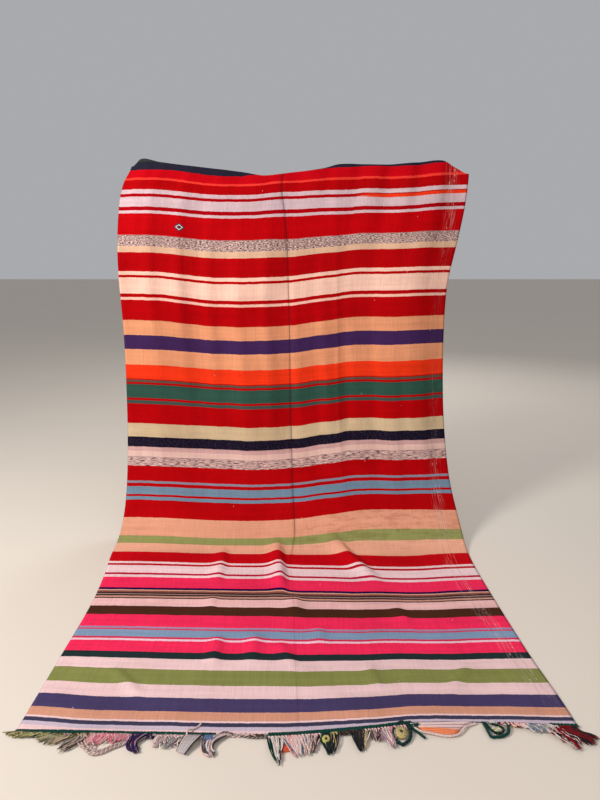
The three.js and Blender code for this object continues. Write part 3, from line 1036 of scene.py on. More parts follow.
@dataclass
class KilimCloth:
    """The woven rug itself, a thin closed sheet."""

    drape: Drape
    finish: WovenFinish
    columns: int = 146
    rows: dict[str, int] = field(default_factory=lambda: {
        "floor": 92, "bend": 68, "hang": 96, "crest": 8, "back": 20})
    beside_crease: tuple[float, ...] = (-0.018, -0.011, -0.005, 0.0, 0.005, 0.011, 0.018)
    closest: float = 0.006
    bake_margin: float = 0.012

    def column_places(self) -> np.ndarray:
        """Spaces the columns evenly, with more beside the creases.

        Returns:
            Each column's place, from -1 to 1.
        """
        even = np.linspace(-1, 1, self.columns + 1)
        extra = [float(crease.across.at(0.0)) + offset
                 for crease in self.drape.creases for offset in self.beside_crease]
        kept = [place for place in even if min(abs(place - other) for other in extra) > self.closest]
        return np.array(sorted(kept + extra))

    def build(self, shift: np.ndarray) -> bpy.types.Object:
        """Makes the cloth.

        Args:
            shift: from the design frame to the part's frame.

        Returns:
            The piece.
        """
        middle, along, wide = self.drape.grid(self.column_places(), self.rows)
        out = np.cross(np.gradient(middle, axis=1), np.gradient(middle, axis=0))
        out /= np.linalg.norm(out, axis=2, keepdims=True)
        half = out * self.drape.thickness / 2
        points = np.concatenate([(middle + half).reshape(-1, 3), (middle - half).reshape(-1, 3)])
        points[:, 2] = np.maximum(points[:, 2], 0.0)
        faces, corners = self.faces(*along.shape)
        woven = self.drape.weave_place(wide, along)
        place = np.stack([(wide + 1) / 2 * self.drape.width, woven], axis=2).reshape(-1, 2)
        numbers = np.concatenate([np.asarray(face) for face in faces])
        maps = {WEAVE_MAP: np.concatenate([place, place])[numbers], BAKE_MAP: np.concatenate(corners)}
        material = self.finish.material(self.drape.width)
        piece = add_piece("kilim_cloth", points, faces, [material], shift, maps)
        # Distances kept at each vertex: to the rubbed lines, for their wear and the painted shade beside them,
        # and to the middle crease, for its painted shade.
        wear_and_shade_places = {"rubbed": self.drape.rubbed(wide, woven), "creased": self.drape.creased(wide, along)}
        for name, values in wear_and_shade_places.items():
            layer = piece.data.attributes.new(name, "FLOAT", "POINT")
            layer.data.foreach_set("value", np.tile(values.ravel(), 2).astype(np.float32))
        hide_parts("rug_cloth")
        return piece

    def faces(self, rows: int, columns: int) -> tuple[list, list]:
        """Joins the two faces of the cloth and its four thin edges.

        Args:
            rows: vertices along the cloth.
            columns: vertices across it.

        Returns:
            The faces and, for each, where its corners lie on the bake map.
        """
        under, gap = rows * columns, self.bake_margin
        thin = gap / 4
        wide = np.linspace(gap / 2, 0.5 - gap / 2, columns)
        tall = np.linspace(gap, 1 - gap, rows)
        faces, corners = [], []

        def add(face: tuple[int, ...], spots: list, turned: bool) -> None:
            """Keeps one face with its corners on the bake map, both turned over if asked."""
            faces.append(face[::-1] if turned else face)
            corners.append(np.array(spots[::-1] if turned else spots))

        def close(a: int, b: int, here: tuple, there: tuple, half: tuple, turned: bool) -> None:
            """Closes the thin edge from vertex a to vertex b, which lie here and there on the bake map."""
            low, high = np.subtract((here, there), half), np.add((there, here), half)
            add((a, b, b + under, a + under), [*low, *high], turned)

        for r in range(rows - 1):
            for c in range(columns - 1):
                a = r * columns + c
                square = (a, a + 1, a + columns + 1, a + columns)
                spots = [(wide[i], tall[j]) for i, j in ((c, r), (c + 1, r), (c + 1, r + 1), (c, r + 1))]
                add(square, spots, True)
                add(tuple(n + under for n in square), [(x + 0.5, y) for x, y in spots], False)
        for r in range(rows - 1):
            for c, x in ((0, 0.5 - thin), (columns - 1, 1 - thin)):
                a = r * columns + c
                close(a, a + columns, (x, tall[r]), (x, tall[r + 1]), (thin / 2, 0), c == 0)
        for c in range(columns - 1):
            for r, y in ((0, gap / 3), (rows - 1, 1 - gap / 3)):
                a = r * columns + c
                close(a, a + 1, (wide[c], y), (wide[c + 1], y), (0, thin / 2), r > 0)
        return faces, corners


# --------------------------------------------------------------------------------------------------
# Yarns: the twined edge and the fringe
# --------------------------------------------------------------------------------------------------


class Yarn(Enum):
    """The wool yarns at the near end, by dye."""

    GREEN = Dye(24, 66, 58)
    BLACK = Dye(38, 38, 42)
    BROWN = Dye(78, 62, 54)
    GREY = Dye(166, 156, 150)
    MAUVE = Dye(168, 138, 150)
    OLIVE = Dye(128, 126, 80)
    KHAKI = Dye(176, 162, 118)
    PINK = Dye(222, 128, 146)
    BLUSH = Dye(230, 190, 186)
    WHITE = Dye(226, 214, 208)
    PURPLE = Dye(58, 36, 92)
    BLUE = Dye(86, 116, 168)
    SLATE = Dye(112, 124, 142)
    LIME = Dye(176, 182, 96)
    SAND = Dye(190, 168, 112)
    ORANGE = Dye(232, 96, 62)
    PEACH = Dye(230, 150, 104)
    DARK_RED = Dye(128, 24, 30)


YARNS = list(Yarn)


def mix(names: str) -> tuple[Yarn, ...]:
    """Gives the yarns of a mix, by their names in turn."""
    return tuple(Yarn[name.upper()] for name in names.split())


@dataclass(frozen=True)
class YarnFinish:
    """The look of the loose yarns."""

    effects: SharedEffects
    twist: float = 120.0

    def materials(self) -> list[bpy.types.Material]:
        """Makes one material for each dye, which reads the yarn map.

        Returns:
            The materials, in the order of YARNS.
        """
        shade = WoolShade(self.effects, specular=0.05, soil=0.30, relief=0.0006)
        made = []
        for yarn in YARNS:
            material, bench = new_material(f"{yarn.name.lower()} yarn")
            sockets = {"Run": bench.map(YARN_MAP), "Twist": self.twist, "Colour": yarn.value}
            twist = bench.add("ShaderNodeGroup", sockets, node_tree=self.effects.twist)
            # The twist's colour carries painted shade in the grooves between the plies.
            shade.close(material, bench, twist.outputs["Colour"], twist.outputs["Height"])
            made.append(material)
        return made


def smooth_path(points: list | np.ndarray, count: int) -> np.ndarray:
    """Runs a smooth line through a few points.

    Args:
        points: the points, at least three.
        count: how many points the line gets.

    Returns:
        The line's points.
    """
    knots = np.asarray(points, float)
    padded = np.vstack([2 * knots[0] - knots[1], knots, 2 * knots[-1] - knots[-2]])
    place = np.linspace(0, len(knots) - 1, count)
    index = np.minimum(place.astype(int), len(knots) - 2)
    share = (place - index)[:, None]
    before, start, end, after = (padded[index + k] for k in range(4))
    return 0.5 * (2 * start + (end - before) * share
                  + (2 * before - 5 * start + 4 * end - after) * share**2
                  + (3 * start - before - 3 * end + after) * share**3)


class YarnBundle:
    """Collects yarns as thin tubes and joins them into one mesh."""

    bake_columns: int = 8
    bake_low: tuple[float, float] = (0.03, 0.12)
    bake_span: tuple[float, float] = (0.94, 0.76)
    rings_per_turn: int = 9

    def __init__(self, sides: int) -> None:
        """Starts empty. Every tube has this many sides."""
        self.sides = sides
        self.tubes: list[tuple[np.ndarray, np.ndarray, int]] = []

    @staticmethod
    def gone(path: np.ndarray) -> np.ndarray:
        """Gives the metres from a path's start to each of its points."""
        return np.concatenate([[0], np.cumsum(np.linalg.norm(np.diff(path, axis=0), axis=1))])

    @staticmethod
    def unit(vectors: np.ndarray, least: float = 1e-9) -> np.ndarray:
        """Gives vectors, one to a row, a length of one."""
        return vectors / np.maximum(np.linalg.norm(vectors, axis=-1, keepdims=True), least)

    def tube(self, path: np.ndarray, radius: float, yarn: Yarn, tip: float = 0.9) -> None:
        """Adds one yarn.

        Args:
            path: its points.
            radius: half its thickness.
            yarn: its dye.
            tip: how thick its last point is, against the rest.
        """
        thick = np.full(len(path), radius)
        thick[-1] *= tip
        thick[-2] *= (1 + tip) / 2
        self.tubes.append((np.asarray(path, float), thick, YARNS.index(yarn)))

    def cord(self, path: np.ndarray, radius: float, yarns: tuple[Yarn, ...], pitch: float) -> None:
        """Adds a cord of yarns twisted round each other.

        Args:
            path: the cord's middle.
            radius: half the cord's thickness.
            yarns: its yarns.
            pitch: metres for one full turn.
        """
        gone = self.gone(path)
        where = np.linspace(0, gone[-1], max(int(gone[-1] / pitch * self.rings_per_turn), 6))
        middle = np.stack([np.interp(where, gone, path[:, k]) for k in range(3)], axis=1)
        tangent = self.unit(np.gradient(middle, axis=0))
        aside = self.unit(np.cross(tangent, [0.0, 0.0, 1.0]), 1e-6)
        up = np.cross(aside, tangent)
        for index, yarn in enumerate(yarns):
            angle = 2 * math.pi * (where / pitch + index / len(yarns))
            offset = aside * np.cos(angle)[:, None] + up * np.sin(angle)[:, None]
            self.tube(middle + offset * radius * 0.5, radius * 0.56, yarn)

    def build(self, name: str, materials: list[bpy.types.Material], shift: np.ndarray) -> bpy.types.Object:
        """Joins the tubes.

        Args:
            name: the piece's name.
            materials: one for each dye, in the order of YARNS.
            shift: from the design frame to the part's frame.

        Returns:
            The piece.
        """
        points, faces, runs, bakes, dyes = [], [], [], [], []
        size = np.array([1 / self.bake_columns, 1 / math.ceil(len(self.tubes) / self.bake_columns)])
        used = sorted({dye for _, _, dye in self.tubes})
        for number, (path, thick, dye) in enumerate(self.tubes):
            cell = size * [number % self.bake_columns, number // self.bake_columns]
            self.skin(sum(map(len, points)), path, cell, size, faces, runs, bakes)
            points.append(self.rings(path, thick).reshape(-1, 3))
            dyes += [used.index(dye)] * ((len(path) - 1) * self.sides + 2)
        maps = {YARN_MAP: np.array(runs), BAKE_MAP: np.array(bakes)}
        worn = [materials[dye] for dye in used]
        piece = add_piece(name, np.concatenate(points), faces, worn, shift, maps)
        piece.data.polygons.foreach_set("material_index", dyes)
        return piece

    def rings(self, path: np.ndarray, thick: np.ndarray) -> np.ndarray:
        """Puts a ring of points round each point of a path, without twisting from one to the next.

        Args:
            path: the tube's middle line.
            thick: the radius at each of its points.

        Returns:
            The points, ring by ring.
        """
        tangent = self.unit(np.gradient(path, axis=0))
        guide = np.array([0.0, 0.0, 1.0]) if abs(tangent[0][2]) < 0.9 else np.array([1.0, 0.0, 0.0])
        rings = np.empty((len(path), self.sides, 3))
        angles = 2 * math.pi * np.arange(self.sides) / self.sides
        for index, ahead in enumerate(tangent):
            guide = self.unit(guide - ahead * guide.dot(ahead))
            ring = np.outer(np.cos(angles), guide) + np.outer(np.sin(angles), np.cross(ahead, guide))
            rings[index] = path[index] + ring * thick[index]
        return rings

    def skin(self, first: int, path: np.ndarray, cell: np.ndarray, size: np.ndarray,
             faces: list, runs: list, bakes: list) -> None:
        """Joins one tube's rings and closes its ends.

        Args:
            first: the number of its first vertex.
            path: its middle line, with one point to a ring.
            cell: the low corner of its cell on the bake map.
            size: that cell's size.
            faces: where the faces go.
            runs: where the yarn map's corners go.
            bakes: where the bake map's corners go.
        """
        gone = self.gone(path)
        share = gone / max(gone[-1], 1e-9)
        sides, last = self.sides, len(path) - 1
        low, span = np.array(self.bake_low), np.array(self.bake_span)

        def add(corners: list[tuple[int, int]]) -> None:
            """Adds a face and puts its corners on both maps.

            Args:
                corners: the ring and the side of each corner.
            """
            faces.append(tuple(first + ring * sides + side % sides for ring, side in corners))
            for ring, side in corners:
                runs.append([side / sides, gone[ring]])
                spot = low + span * [share[ring], side / sides]
                bakes.append((cell + size * spot).tolist())

        for ring in range(last):
            for side in range(sides):
                add([(ring, side), (ring, side + 1), (ring + 1, side + 1), (ring + 1, side)])
        add([(0, side) for side in reversed(range(sides))])
        add([(last, side) for side in range(sides)])


@dataclass(frozen=True)
class CordRun:
    """A stretch of the twined edge: its ends across the rug, its half thickness and yarns."""

    start: float
    end: float
    radius: float
    yarns: tuple[Yarn, ...]
    stitched: bool = True


@dataclass(frozen=True)
class LooseCord:
    """A cord that has come away, by the floor points it passes, in millimetres."""

    points: tuple[tuple[float, float, float], ...]
    radius: float
    yarns: tuple[Yarn, ...]


@dataclass
class TwinedEdge:
    """The green cord twined along the near end, with its worn stretches and torn loops."""

    drape: Drape
    runs: tuple[CordRun, ...] = (
        CordRun(-0.754, -0.222, 0.0057, mix("green green")),
        CordRun(-0.222, -0.084, 0.0022, mix("blush grey"), False),
        CordRun(-0.084, 0.296, 0.0060, mix("green green")),
        CordRun(0.466, 0.498, 0.0014, mix("brown grey"), False),
        CordRun(0.496, 0.676, 0.0020, mix("green black"), False),
        CordRun(0.674, 0.744, 0.0042, mix("green green")),
    )
    loose: tuple[LooseCord, ...] = (
        LooseCord(((298, 33, 6), (306, 18, 7), (322, 5, 7), (345, 0, 6), (381, -8, 5), (410, -6, 5),
                   (426, 4, 6), (438, 18, 7), (452, 28, 5), (474, 36, 4)), 0.0032, mix("white blush")),
        LooseCord(((258, 26, 8), (272, 34, 11), (288, 24, 9), (293, 4, 7), (287, -18, 5), (270, -34, 4),
                   (262, -36, 4), (250, -22, 5), (245, -2, 7), (250, 16, 8)), 0.0044, mix("green black")),
        LooseCord(((286, 27, 9), (300, 16, 6), (314, 2, 4), (328, -15, 3)), 0.0036, mix("green green")),
        LooseCord(((286, 24, 8), (300, 22, 7), (316, 12, 6)), 0.0036, mix("green green")),
        LooseCord(((288, 24, 8), (304, 26, 7), (318, 32, 6)), 0.0040, mix("green green")),
        LooseCord(((494, 38, 6), (496, 22, 6), (499, 4, 5), (501, -9, 4), (504, -12, 4), (512, -11, 4),
                   (527, -10, 4), (542, -4, 5), (550, 2, 5), (555, 12, 6), (557, 26, 6)), 0.0040,
                  mix("green green")),
        LooseCord(((500, 34, 7), (503, 20, 7), (510, 6, 7), (520, -1, 6), (532, 1, 6), (541, 9, 7),
                   (538, 18, 8), (527, 26, 8), (514, 30, 8)), 0.0034, mix("green black")),
        LooseCord(((512, 16, 7), (521, 8, 7), (531, 10, 7), (527, 18, 8)), 0.0034, mix("white lime")),
        LooseCord(((-574, -4, 5), (-570, -24, 5), (-555, -46, 4), (-530, -66, 4), (-505, -63, 4),
                   (-482, -48, 5), (-456, -34, 4), (-440, -24, 4)), 0.0034, mix("grey blush")),
        LooseCord(((-566, -6, 6), (-560, -26, 6), (-545, -44, 6), (-524, -57, 6), (-503, -54, 6),
                   (-478, -38, 6), (-450, -28, 5)), 0.0028, mix("blush grey")),
        LooseCord(((-578, -4, 5), (-581, -24, 7), (-566, -42, 6), (-546, -52, 6), (-531, -44, 8),
                   (-540, -28, 8)), 0.0026, mix("blush grey")),
        LooseCord(((-267, 38, 4), (-272, 24, 6), (-286, 12, 8), (-297, 2, 13), (-296, -18, 13)), 0.0026,
                  mix("blush white")),
        LooseCord(((-220, -6, 4), (-200, 4, 6), (-178, 0, 4), (-150, -9, 4), (-118, -14, 4), (-86, -12, 5)),
                  0.0022, mix("grey brown")),
    )
    stitch_spacing: float = 0.0092
    stitch_radius: float = 0.0014
    twine_pitch: float = 0.013
    cord_step: float = 0.012
    waver: float = 0.0006
    steps_per_point: int = 14
    loose_pitch: float = 0.011

    def end_at(self, x: np.ndarray | float) -> np.ndarray:
        """Gives the y of the cloth's near end at each x."""
        left, right = self.drape.left_edge.at(0.0), self.drape.right_edge.at(0.0)
        return self.drape.near_end.at((x - left) / (right - left) * 2 - 1)

    def build(self, materials: list[bpy.types.Material], shift: np.ndarray) -> bpy.types.Object:
        """Makes the edge.

        Args:
            materials: one for each dye.
            shift: from the design frame to the part's frame.

        Returns:
            The piece.
        """
        bundle = YarnBundle(sides=6)
        random = np.random.default_rng(11)
        for run in self.runs:
            x = np.linspace(run.start, run.end, max(int((run.end - run.start) / self.cord_step), 3))
            y = self.end_at(x) - run.radius - self.waver + random.normal(0, self.waver, len(x))
            z = np.full(len(x), run.radius + 0.0002)
            bundle.cord(np.stack([x, y, z], axis=1), run.radius, run.yarns, self.twine_pitch)
            if run.stitched:
                self.stitch(bundle, run, random)
        for cord in self.loose:
            path = smooth_path(np.array(cord.points) / 1000, self.steps_per_point * len(cord.points))
            path[:, 2] = np.maximum(path[:, 2], 1.1 * cord.radius)
            bundle.cord(path, cord.radius, cord.yarns, self.loose_pitch)
        piece = bundle.build("edge_twining", materials, shift)
        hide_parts("edge_cord")
        return piece

    def stitch(self, bundle: YarnBundle, run: CordRun, random: np.random.Generator) -> None:
        """Wraps slanted stitches from the cord over the cloth's end.

        Args:
            bundle: where the yarns go.
            run: the stretch of cord.
            random: the source of small unevenness.
        """
        top, radius = self.drape.thickness, run.radius
        for x in np.arange(run.start, run.end, self.stitch_spacing):
            here = x + random.normal(0, 0.0008)
            y = float(self.end_at(here))
            reach = 0.0020 + random.uniform(-0.0006, 0.0008)
            points = [(here, y + reach, top - 0.0006), (here + 0.0015, y + reach * 0.6, top + 0.0018),
                      (here + 0.004, y - 0.0014, top + 0.0046),
                      (here + 0.006, y - radius * 1.4, radius * 1.7),
                      (here + 0.0075, y - radius * 2.2, radius * 0.8)]
            bundle.tube(smooth_path(points, 8), self.stitch_radius, run.yarns[0])


@dataclass(frozen=True)
class LayShape:
    """How the yarns of a tassel lie: in words, which keep the ways apart, and by shares of its width and reach.

    Gather is the tips' spread, bow the bend outwards, push the drag aside and shortest the least length. Stray
    is in metres, and fineness is against the usual yarn.
    """

    words: str
    gather: float = 0.0
    bow: float = 0.05
    stray: float = 0.0032
    push: float = 0.0
    shortest: float = 0.74
    fineness: float = 0.92


class Lay(Enum):
    """The ways in which tassels lie."""

    LEAF = LayShape("gathered to one tip", 0.14, bow=0.16)
    FAN = LayShape("spread a little", 0.70)
    SWEEP = LayShape("brushed to one side", 0.60, stray=0.0075, push=0.12, shortest=0.62, fineness=0.72)
    CURL = LayShape("swept aside and turned back")
    LOOPS = LayShape("out and back again")


@dataclass(frozen=True)
class Tassel:
    """A bunch of warp ends. Sizes in millimetres: its middle, root width, reach, and lean to the right."""

    middle: float
    width: float
    reach: float
    lean: float
    strands: int
    lay: Lay
    yarns: tuple[Yarn, ...]


@dataclass(frozen=True)
class Coil:
    """A small wound knot: its place, half width, yarn's half thickness, two dyes and how often it winds."""

    middle: tuple[float, float]
    size: float
    radius: float
    yarns: tuple[Yarn, ...]
    turns: float


@dataclass(frozen=True)
class Scrap:
    """A scrap of cloth: its corners in turn from its root, its dyes, how many yarns and how high it lies."""

    corners: tuple[tuple[float, float], ...]
    yarns: tuple[Yarn, ...]
    strands: int
    height: float
    radius: float = 0.0019


@dataclass
class Fringe:
    """The mixed yarn ends that hang from the near end."""

    edge: TwinedEdge
    strand_radius: float = 0.0017
    points_per_strand: int = 14
    knot_spacing: float = 0.0088
    frayed_tip: float = 0.55
    fair_share: float = 0.75
    layers: tuple[float, float] = (0.0018, 0.0075)
    rooted: tuple[float, float] = (-0.75, 0.742)
    curl: tuple[tuple[float, ...], ...] = (
        (0.55, 1.0, 0.20, 0.003), (1.0, 0.5, 0.52, 0.003), (0.95, 0.4, 0.82, 0.0), (0.55, 0.3, 1.0, 0.0))
    coils: tuple[Coil, ...] = (
        Coil((0.069, -0.022), 0.0105, 0.0040, mix("lime sand"), 2.5),
        Coil((0.268, 0.000), 0.0145, 0.0048, mix("sand khaki"), 3.0),
    )
    scraps: tuple[Scrap, ...] = (
        Scrap(((-0.247, -0.010), (-0.228, -0.010), (-0.232, -0.037), (-0.249, -0.031)),
              mix("blue slate"), 9, 0.012),
        Scrap(((-0.050, -0.030), (-0.026, -0.048), (-0.022, -0.054), (-0.046, -0.062)),
              mix("orange"), 6, 0.005),
        Scrap(((0.312, 0.036), (0.322, 0.018), (0.432, 0.016), (0.468, 0.044)),
              mix("blush white blush mauve"), 10, 0.003),
        Scrap(((0.318, 0.022), (0.332, 0.003), (0.412, -0.003), (0.428, 0.014)),
              mix("peach peach orange"), 10, 0.005),
        Scrap(((-0.300, -0.010), (-0.256, -0.010), (-0.292, -0.070), (-0.314, -0.060)),
              mix("brown" + 3 * " white grey mauve white slate" + " brown"), 17, 0.013),
    )
    tassels: tuple[Tassel, ...] = (
        Tassel(-728, 44, 18, -33, 32, Lay.SWEEP, mix("olive brown khaki olive")),
        Tassel(-700, 50, 27, -44, 36, Lay.SWEEP, mix("olive khaki olive brown")),
        Tassel(-668, 44, 27, -30, 26, Lay.SWEEP, mix("olive khaki green")),
        Tassel(-634, 50, 42, -36, 38, Lay.SWEEP, mix("khaki olive grey brown")),
        Tassel(-606, 44, 48, -38, 34, Lay.SWEEP, mix("brown khaki olive mauve")),
        Tassel(-574, 34, 78, -34, 28, Lay.SWEEP, mix("brown grey khaki mauve")),
        Tassel(-552, 34, 34, 4, 14, Lay.LOOPS, mix("grey khaki brown")),
        Tassel(-514, 54, 46, -24, 34, Lay.FAN, mix("pink pink blush")),
        Tassel(-500, 60, 40, -14, 16, Lay.LOOPS, mix("pink blush")),
        Tassel(-464, 46, 38, -16, 26, Lay.FAN, mix("pink pink grey pink")),
        Tassel(-448, 30, 60, 10, 12, Lay.LEAF, mix("pink blush mauve")),
        Tassel(-400, 56, 68, -36, 46, Lay.CURL, mix("purple black purple purple mauve")),
        Tassel(-384, 34, 22, -12, 16, Lay.FAN, mix("purple black mauve")),
        Tassel(-360, 40, 28, 6, 16, Lay.LOOPS, mix("grey blush brown")),
        Tassel(-338, 48, 62, -22, 40, Lay.LOOPS, mix("grey white blush brown mauve")),
        Tassel(-312, 46, 58, -20, 36, Lay.LOOPS, mix("grey white blush brown slate")),
        Tassel(-272, 40, 30, -18, 14, Lay.SWEEP, mix("grey mauve grey")),
        Tassel(-209, 62, 76, -32, 56, Lay.CURL, mix("blush grey white brown slate")),
        Tassel(-196, 34, 12, -6, 12, Lay.LOOPS, mix("grey brown blush")),
        Tassel(-176, 40, 12, 2, 10, Lay.LOOPS, mix("blush grey")),
        Tassel(-144, 44, 9, 0, 10, Lay.LOOPS, mix("grey blush")),
        Tassel(-108, 40, 12, 2, 9, Lay.LOOPS, mix("grey brown blush")),
        Tassel(-68, 42, 102, 14, 32, Lay.LEAF, mix("green white black white grey")),
        Tassel(-34, 40, 78, 26, 26, Lay.LEAF, mix("blush blush pink white slate")),
        Tassel(-8, 40, 82, 6, 28, Lay.LEAF, mix("blush slate white blush white")),
        Tassel(20, 36, 78, 2, 22, Lay.LEAF, mix("white slate blush sand")),
        Tassel(42, 30, 72, -8, 18, Lay.LEAF, mix("black blush brown mauve")),
        Tassel(74, 46, 82, 6, 34, Lay.LEAF, mix("black green black")),
        Tassel(90, 18, 64, -2, 4, Lay.LEAF, mix("sand khaki")),
        Tassel(114, 40, 12, 0, 18, Lay.FAN, mix("black brown")),
        Tassel(134, 22, 26, -14, 12, Lay.LOOPS, mix("black brown")),
        Tassel(158, 44, 82, 0, 36, Lay.LEAF, mix("black black brown")),
        Tassel(184, 24, 76, -16, 12, Lay.LEAF, mix("grey sand white")),
        Tassel(206, 38, 56, 0, 26, Lay.FAN, mix("brown mauve black blush")),
        Tassel(226, 40, 80, 16, 28, Lay.LEAF, mix("pink mauve blush grey white")),
        Tassel(516, 24, 16, 4, 8, Lay.LOOPS, mix("grey white")),
        Tassel(560, 34, 22, 2, 18, Lay.LOOPS, mix("blush white brown dark_red")),
        Tassel(592, 38, 24, 2, 20, Lay.LOOPS, mix("blush brown peach blush")),
        Tassel(626, 44, 40, 12, 28, Lay.LOOPS, mix("grey white slate")),
        Tassel(650, 36, 38, 16, 18, Lay.LOOPS, mix("white grey slate")),
        Tassel(664, 26, 66, 30, 16, Lay.SWEEP, mix("white dark_red grey black")),
        Tassel(682, 34, 90, 32, 42, Lay.SWEEP, mix("dark_red dark_red white black")),
        Tassel(706, 40, 72, 50, 44, Lay.SWEEP, mix("dark_red dark_red dark_red black")),
        Tassel(728, 22, 58, 44, 18, Lay.SWEEP, mix("dark_red dark_red black")),
    )

    def build(self, materials: list[bpy.types.Material], shift: np.ndarray) -> bpy.types.Object:
        """Makes the fringe.

        Args:
            materials: one for each dye.
            shift: from the design frame to the part's frame.

        Returns:
            The piece.
        """
        bundle = YarnBundle(sides=5)
        random = np.random.default_rng(23)
        for tassel in self.tassels:
            for number in range(tassel.strands):
                yarn = tassel.yarns[int(random.integers(len(tassel.yarns)))]
                path = self.strand(tassel, (number + 0.5) / tassel.strands, random)
                thick = self.strand_radius * tassel.lay.value.fineness * random.uniform(0.75, 1.2)
                bundle.tube(path, thick, yarn, self.frayed_tip)
        self.knot_row(bundle, random)
        for coil in self.coils:
            self.wind(bundle, coil)
        for scrap in self.scraps:
            self.fill(bundle, scrap)
        piece = bundle.build("fringe_yarns", materials, shift)
        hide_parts("fringe")
        return piece

    def strand(self, tassel: Tassel, share: float, random: np.random.Generator) -> np.ndarray:
        """Lays one yarn of a tassel.

        Args:
            tassel: the tassel.
            share: the yarn's place in its root, from 0 to 1.
            random: the source of unevenness.

        Returns:
            The yarn's path.
        """
        width, reach, lean, middle = (size / 1000 for size in (tassel.width, tassel.reach, tassel.lean,
                                                               tassel.middle))
        shape = tassel.lay.value
        side = share * 2 - 1
        x = middle + side * width / 2 + random.normal(0, 0.0008)
        end = float(self.edge.end_at(min(max(x, self.rooted[0]), self.rooted[1])))
        root = np.array([x, end - 0.002, 0.004])
        long = reach * random.uniform(shape.shortest, 1.0)
        layer = random.uniform(*self.layers)
        if tassel.lay is Lay.LOOPS:
            turn = random.uniform(0.4, 1.0)
            wide = random.uniform(0.006, 0.013) * random.choice([-1, 1])
            far = np.array([x + lean * turn + wide * 0.2, end - long * turn, layer])
            wide *= 0.5 + 0.5 * turn
            knots = [root, root * 0.45 + far * 0.55 - [wide * 0.6, 0, -0.002], far,
                     root * 0.5 + far * 0.5 + [wide, 0, 0.003], root + [wide, -0.006, 0.003]]
        elif tassel.lay is Lay.CURL:
            out, spread = random.uniform(0.65, 1.15), side * width * 0.38
            knots = [root] + [[middle + lean * aside * out + spread * apart, end - long * down, layer + lift]
                              for aside, apart, down, lift in self.curl]
        else:
            tip = np.array([middle + lean + side * width / 2 * shape.gather + random.normal(0, shape.stray),
                            end - long, layer])
            bow = side * width * shape.bow + random.normal(0, 0.0012)
            push = shape.push
            first = root + (tip - root) * 0.35 + [bow + lean * push * -1.5, -reach * push * 1.4, 0.004]
            second = root + (tip - root) * 0.70 + [bow * 0.7, -reach * push * 0.5, 0.002]
            knots = [root, first, second, tip]
        path = smooth_path(knots, self.points_per_strand)
        swing = np.linspace(0, 1, len(path))
        wave = np.sin(swing * random.uniform(6, 13) + random.uniform(0, 6)) * 0.0013 * swing
        path[:, 0] += wave
        path[:, 2] = np.maximum(path[:, 2] + np.abs(wave) * 0.6, self.strand_radius + 0.0003)
        return path

    def knot_row(self, bundle: YarnBundle, random: np.random.Generator) -> None:
        """Ties crossed knots under the cord, in the colours of the tassels there.

        Args:
            bundle: where the yarns go.
            random: the source of small unevenness.
        """
        for run in filter(lambda run: run.stitched, self.edge.runs):
            for x in np.arange(run.start + 0.004, run.end - 0.006, self.knot_spacing):
                near = min(self.tassels, key=lambda tassel: abs(tassel.middle / 1000 - x))
                fair = {Yarn.BLUSH, Yarn.WHITE} & set(near.yarns)
                y = float(self.edge.end_at(x)) - run.radius * 1.8
                for lean in (-1, 1):
                    yarn = near.yarns[int(random.integers(len(near.yarns)))]
                    if fair and lean > 0 and random.random() < self.fair_share:
                        yarn = Yarn.BLUSH
                    half = lean * self.knot_spacing * 0.55
                    drop = random.uniform(0.009, 0.013)
                    points = [(x - half, y, 0.004), (x, y - drop * 0.5, 0.009 + 0.001 * lean),
                              (x + half, y - drop, 0.003)]
                    bundle.tube(smooth_path(points, 7), self.strand_radius, yarn)

    @staticmethod
    def wind(bundle: YarnBundle, coil: Coil) -> None:
        """Winds a small knot, its outer turns in one dye and its inner ones in the other.

        Args:
            bundle: where the yarn goes.
            coil: the knot.
        """
        angle = np.linspace(0, 2 * math.pi * coil.turns, int(16 * coil.turns))
        reach = coil.size * (1 - 0.55 * angle / angle[-1])
        x = coil.middle[0] + reach * np.cos(angle)
        y = coil.middle[1] + reach * 1.25 * np.sin(angle)
        z = coil.radius + 0.0065 * angle / angle[-1] + 0.0005
        path = np.stack([x, y, z], axis=1)
        half = len(path) * 2 // 3
        bundle.tube(path[:half + 1], coil.radius, coil.yarns[0])
        bundle.tube(path[half:], coil.radius * 0.9, coil.yarns[1], 0.8)

    @staticmethod
    def fill(bundle: YarnBundle, scrap: Scrap) -> None:
        """Fills a small four-cornered scrap with yarns that lie side by side.

        Args:
            bundle: where the yarns go.
            scrap: the scrap.
        """
        a, b, c, d = np.array(scrap.corners)
        for number in range(scrap.strands):
            share = number / (scrap.strands - 1)
            start, end = a + (b - a) * share, d + (c - d) * share
            middle = (start + end) / 2
            knots = [(*start, scrap.height * 0.8), (*middle, scrap.height), (*end, scrap.height * 0.5)]
            bundle.tube(smooth_path(knots, 8), scrap.radius, scrap.yarns[number % len(scrap.yarns)])


# --------------------------------------------------------------------------------------------------
# The studio
# --------------------------------------------------------------------------------------------------


@dataclass(frozen=True)
class SoftLight:
    """A large soft lamp: where it is, what it looks at, its size and its power."""

    name: str
    place: tuple[float, float, float]
    target: tuple[float, float, float]
    size: float
    power: float
    colour: tuple[float, float, float] = (1.0, 1.0, 1.0)


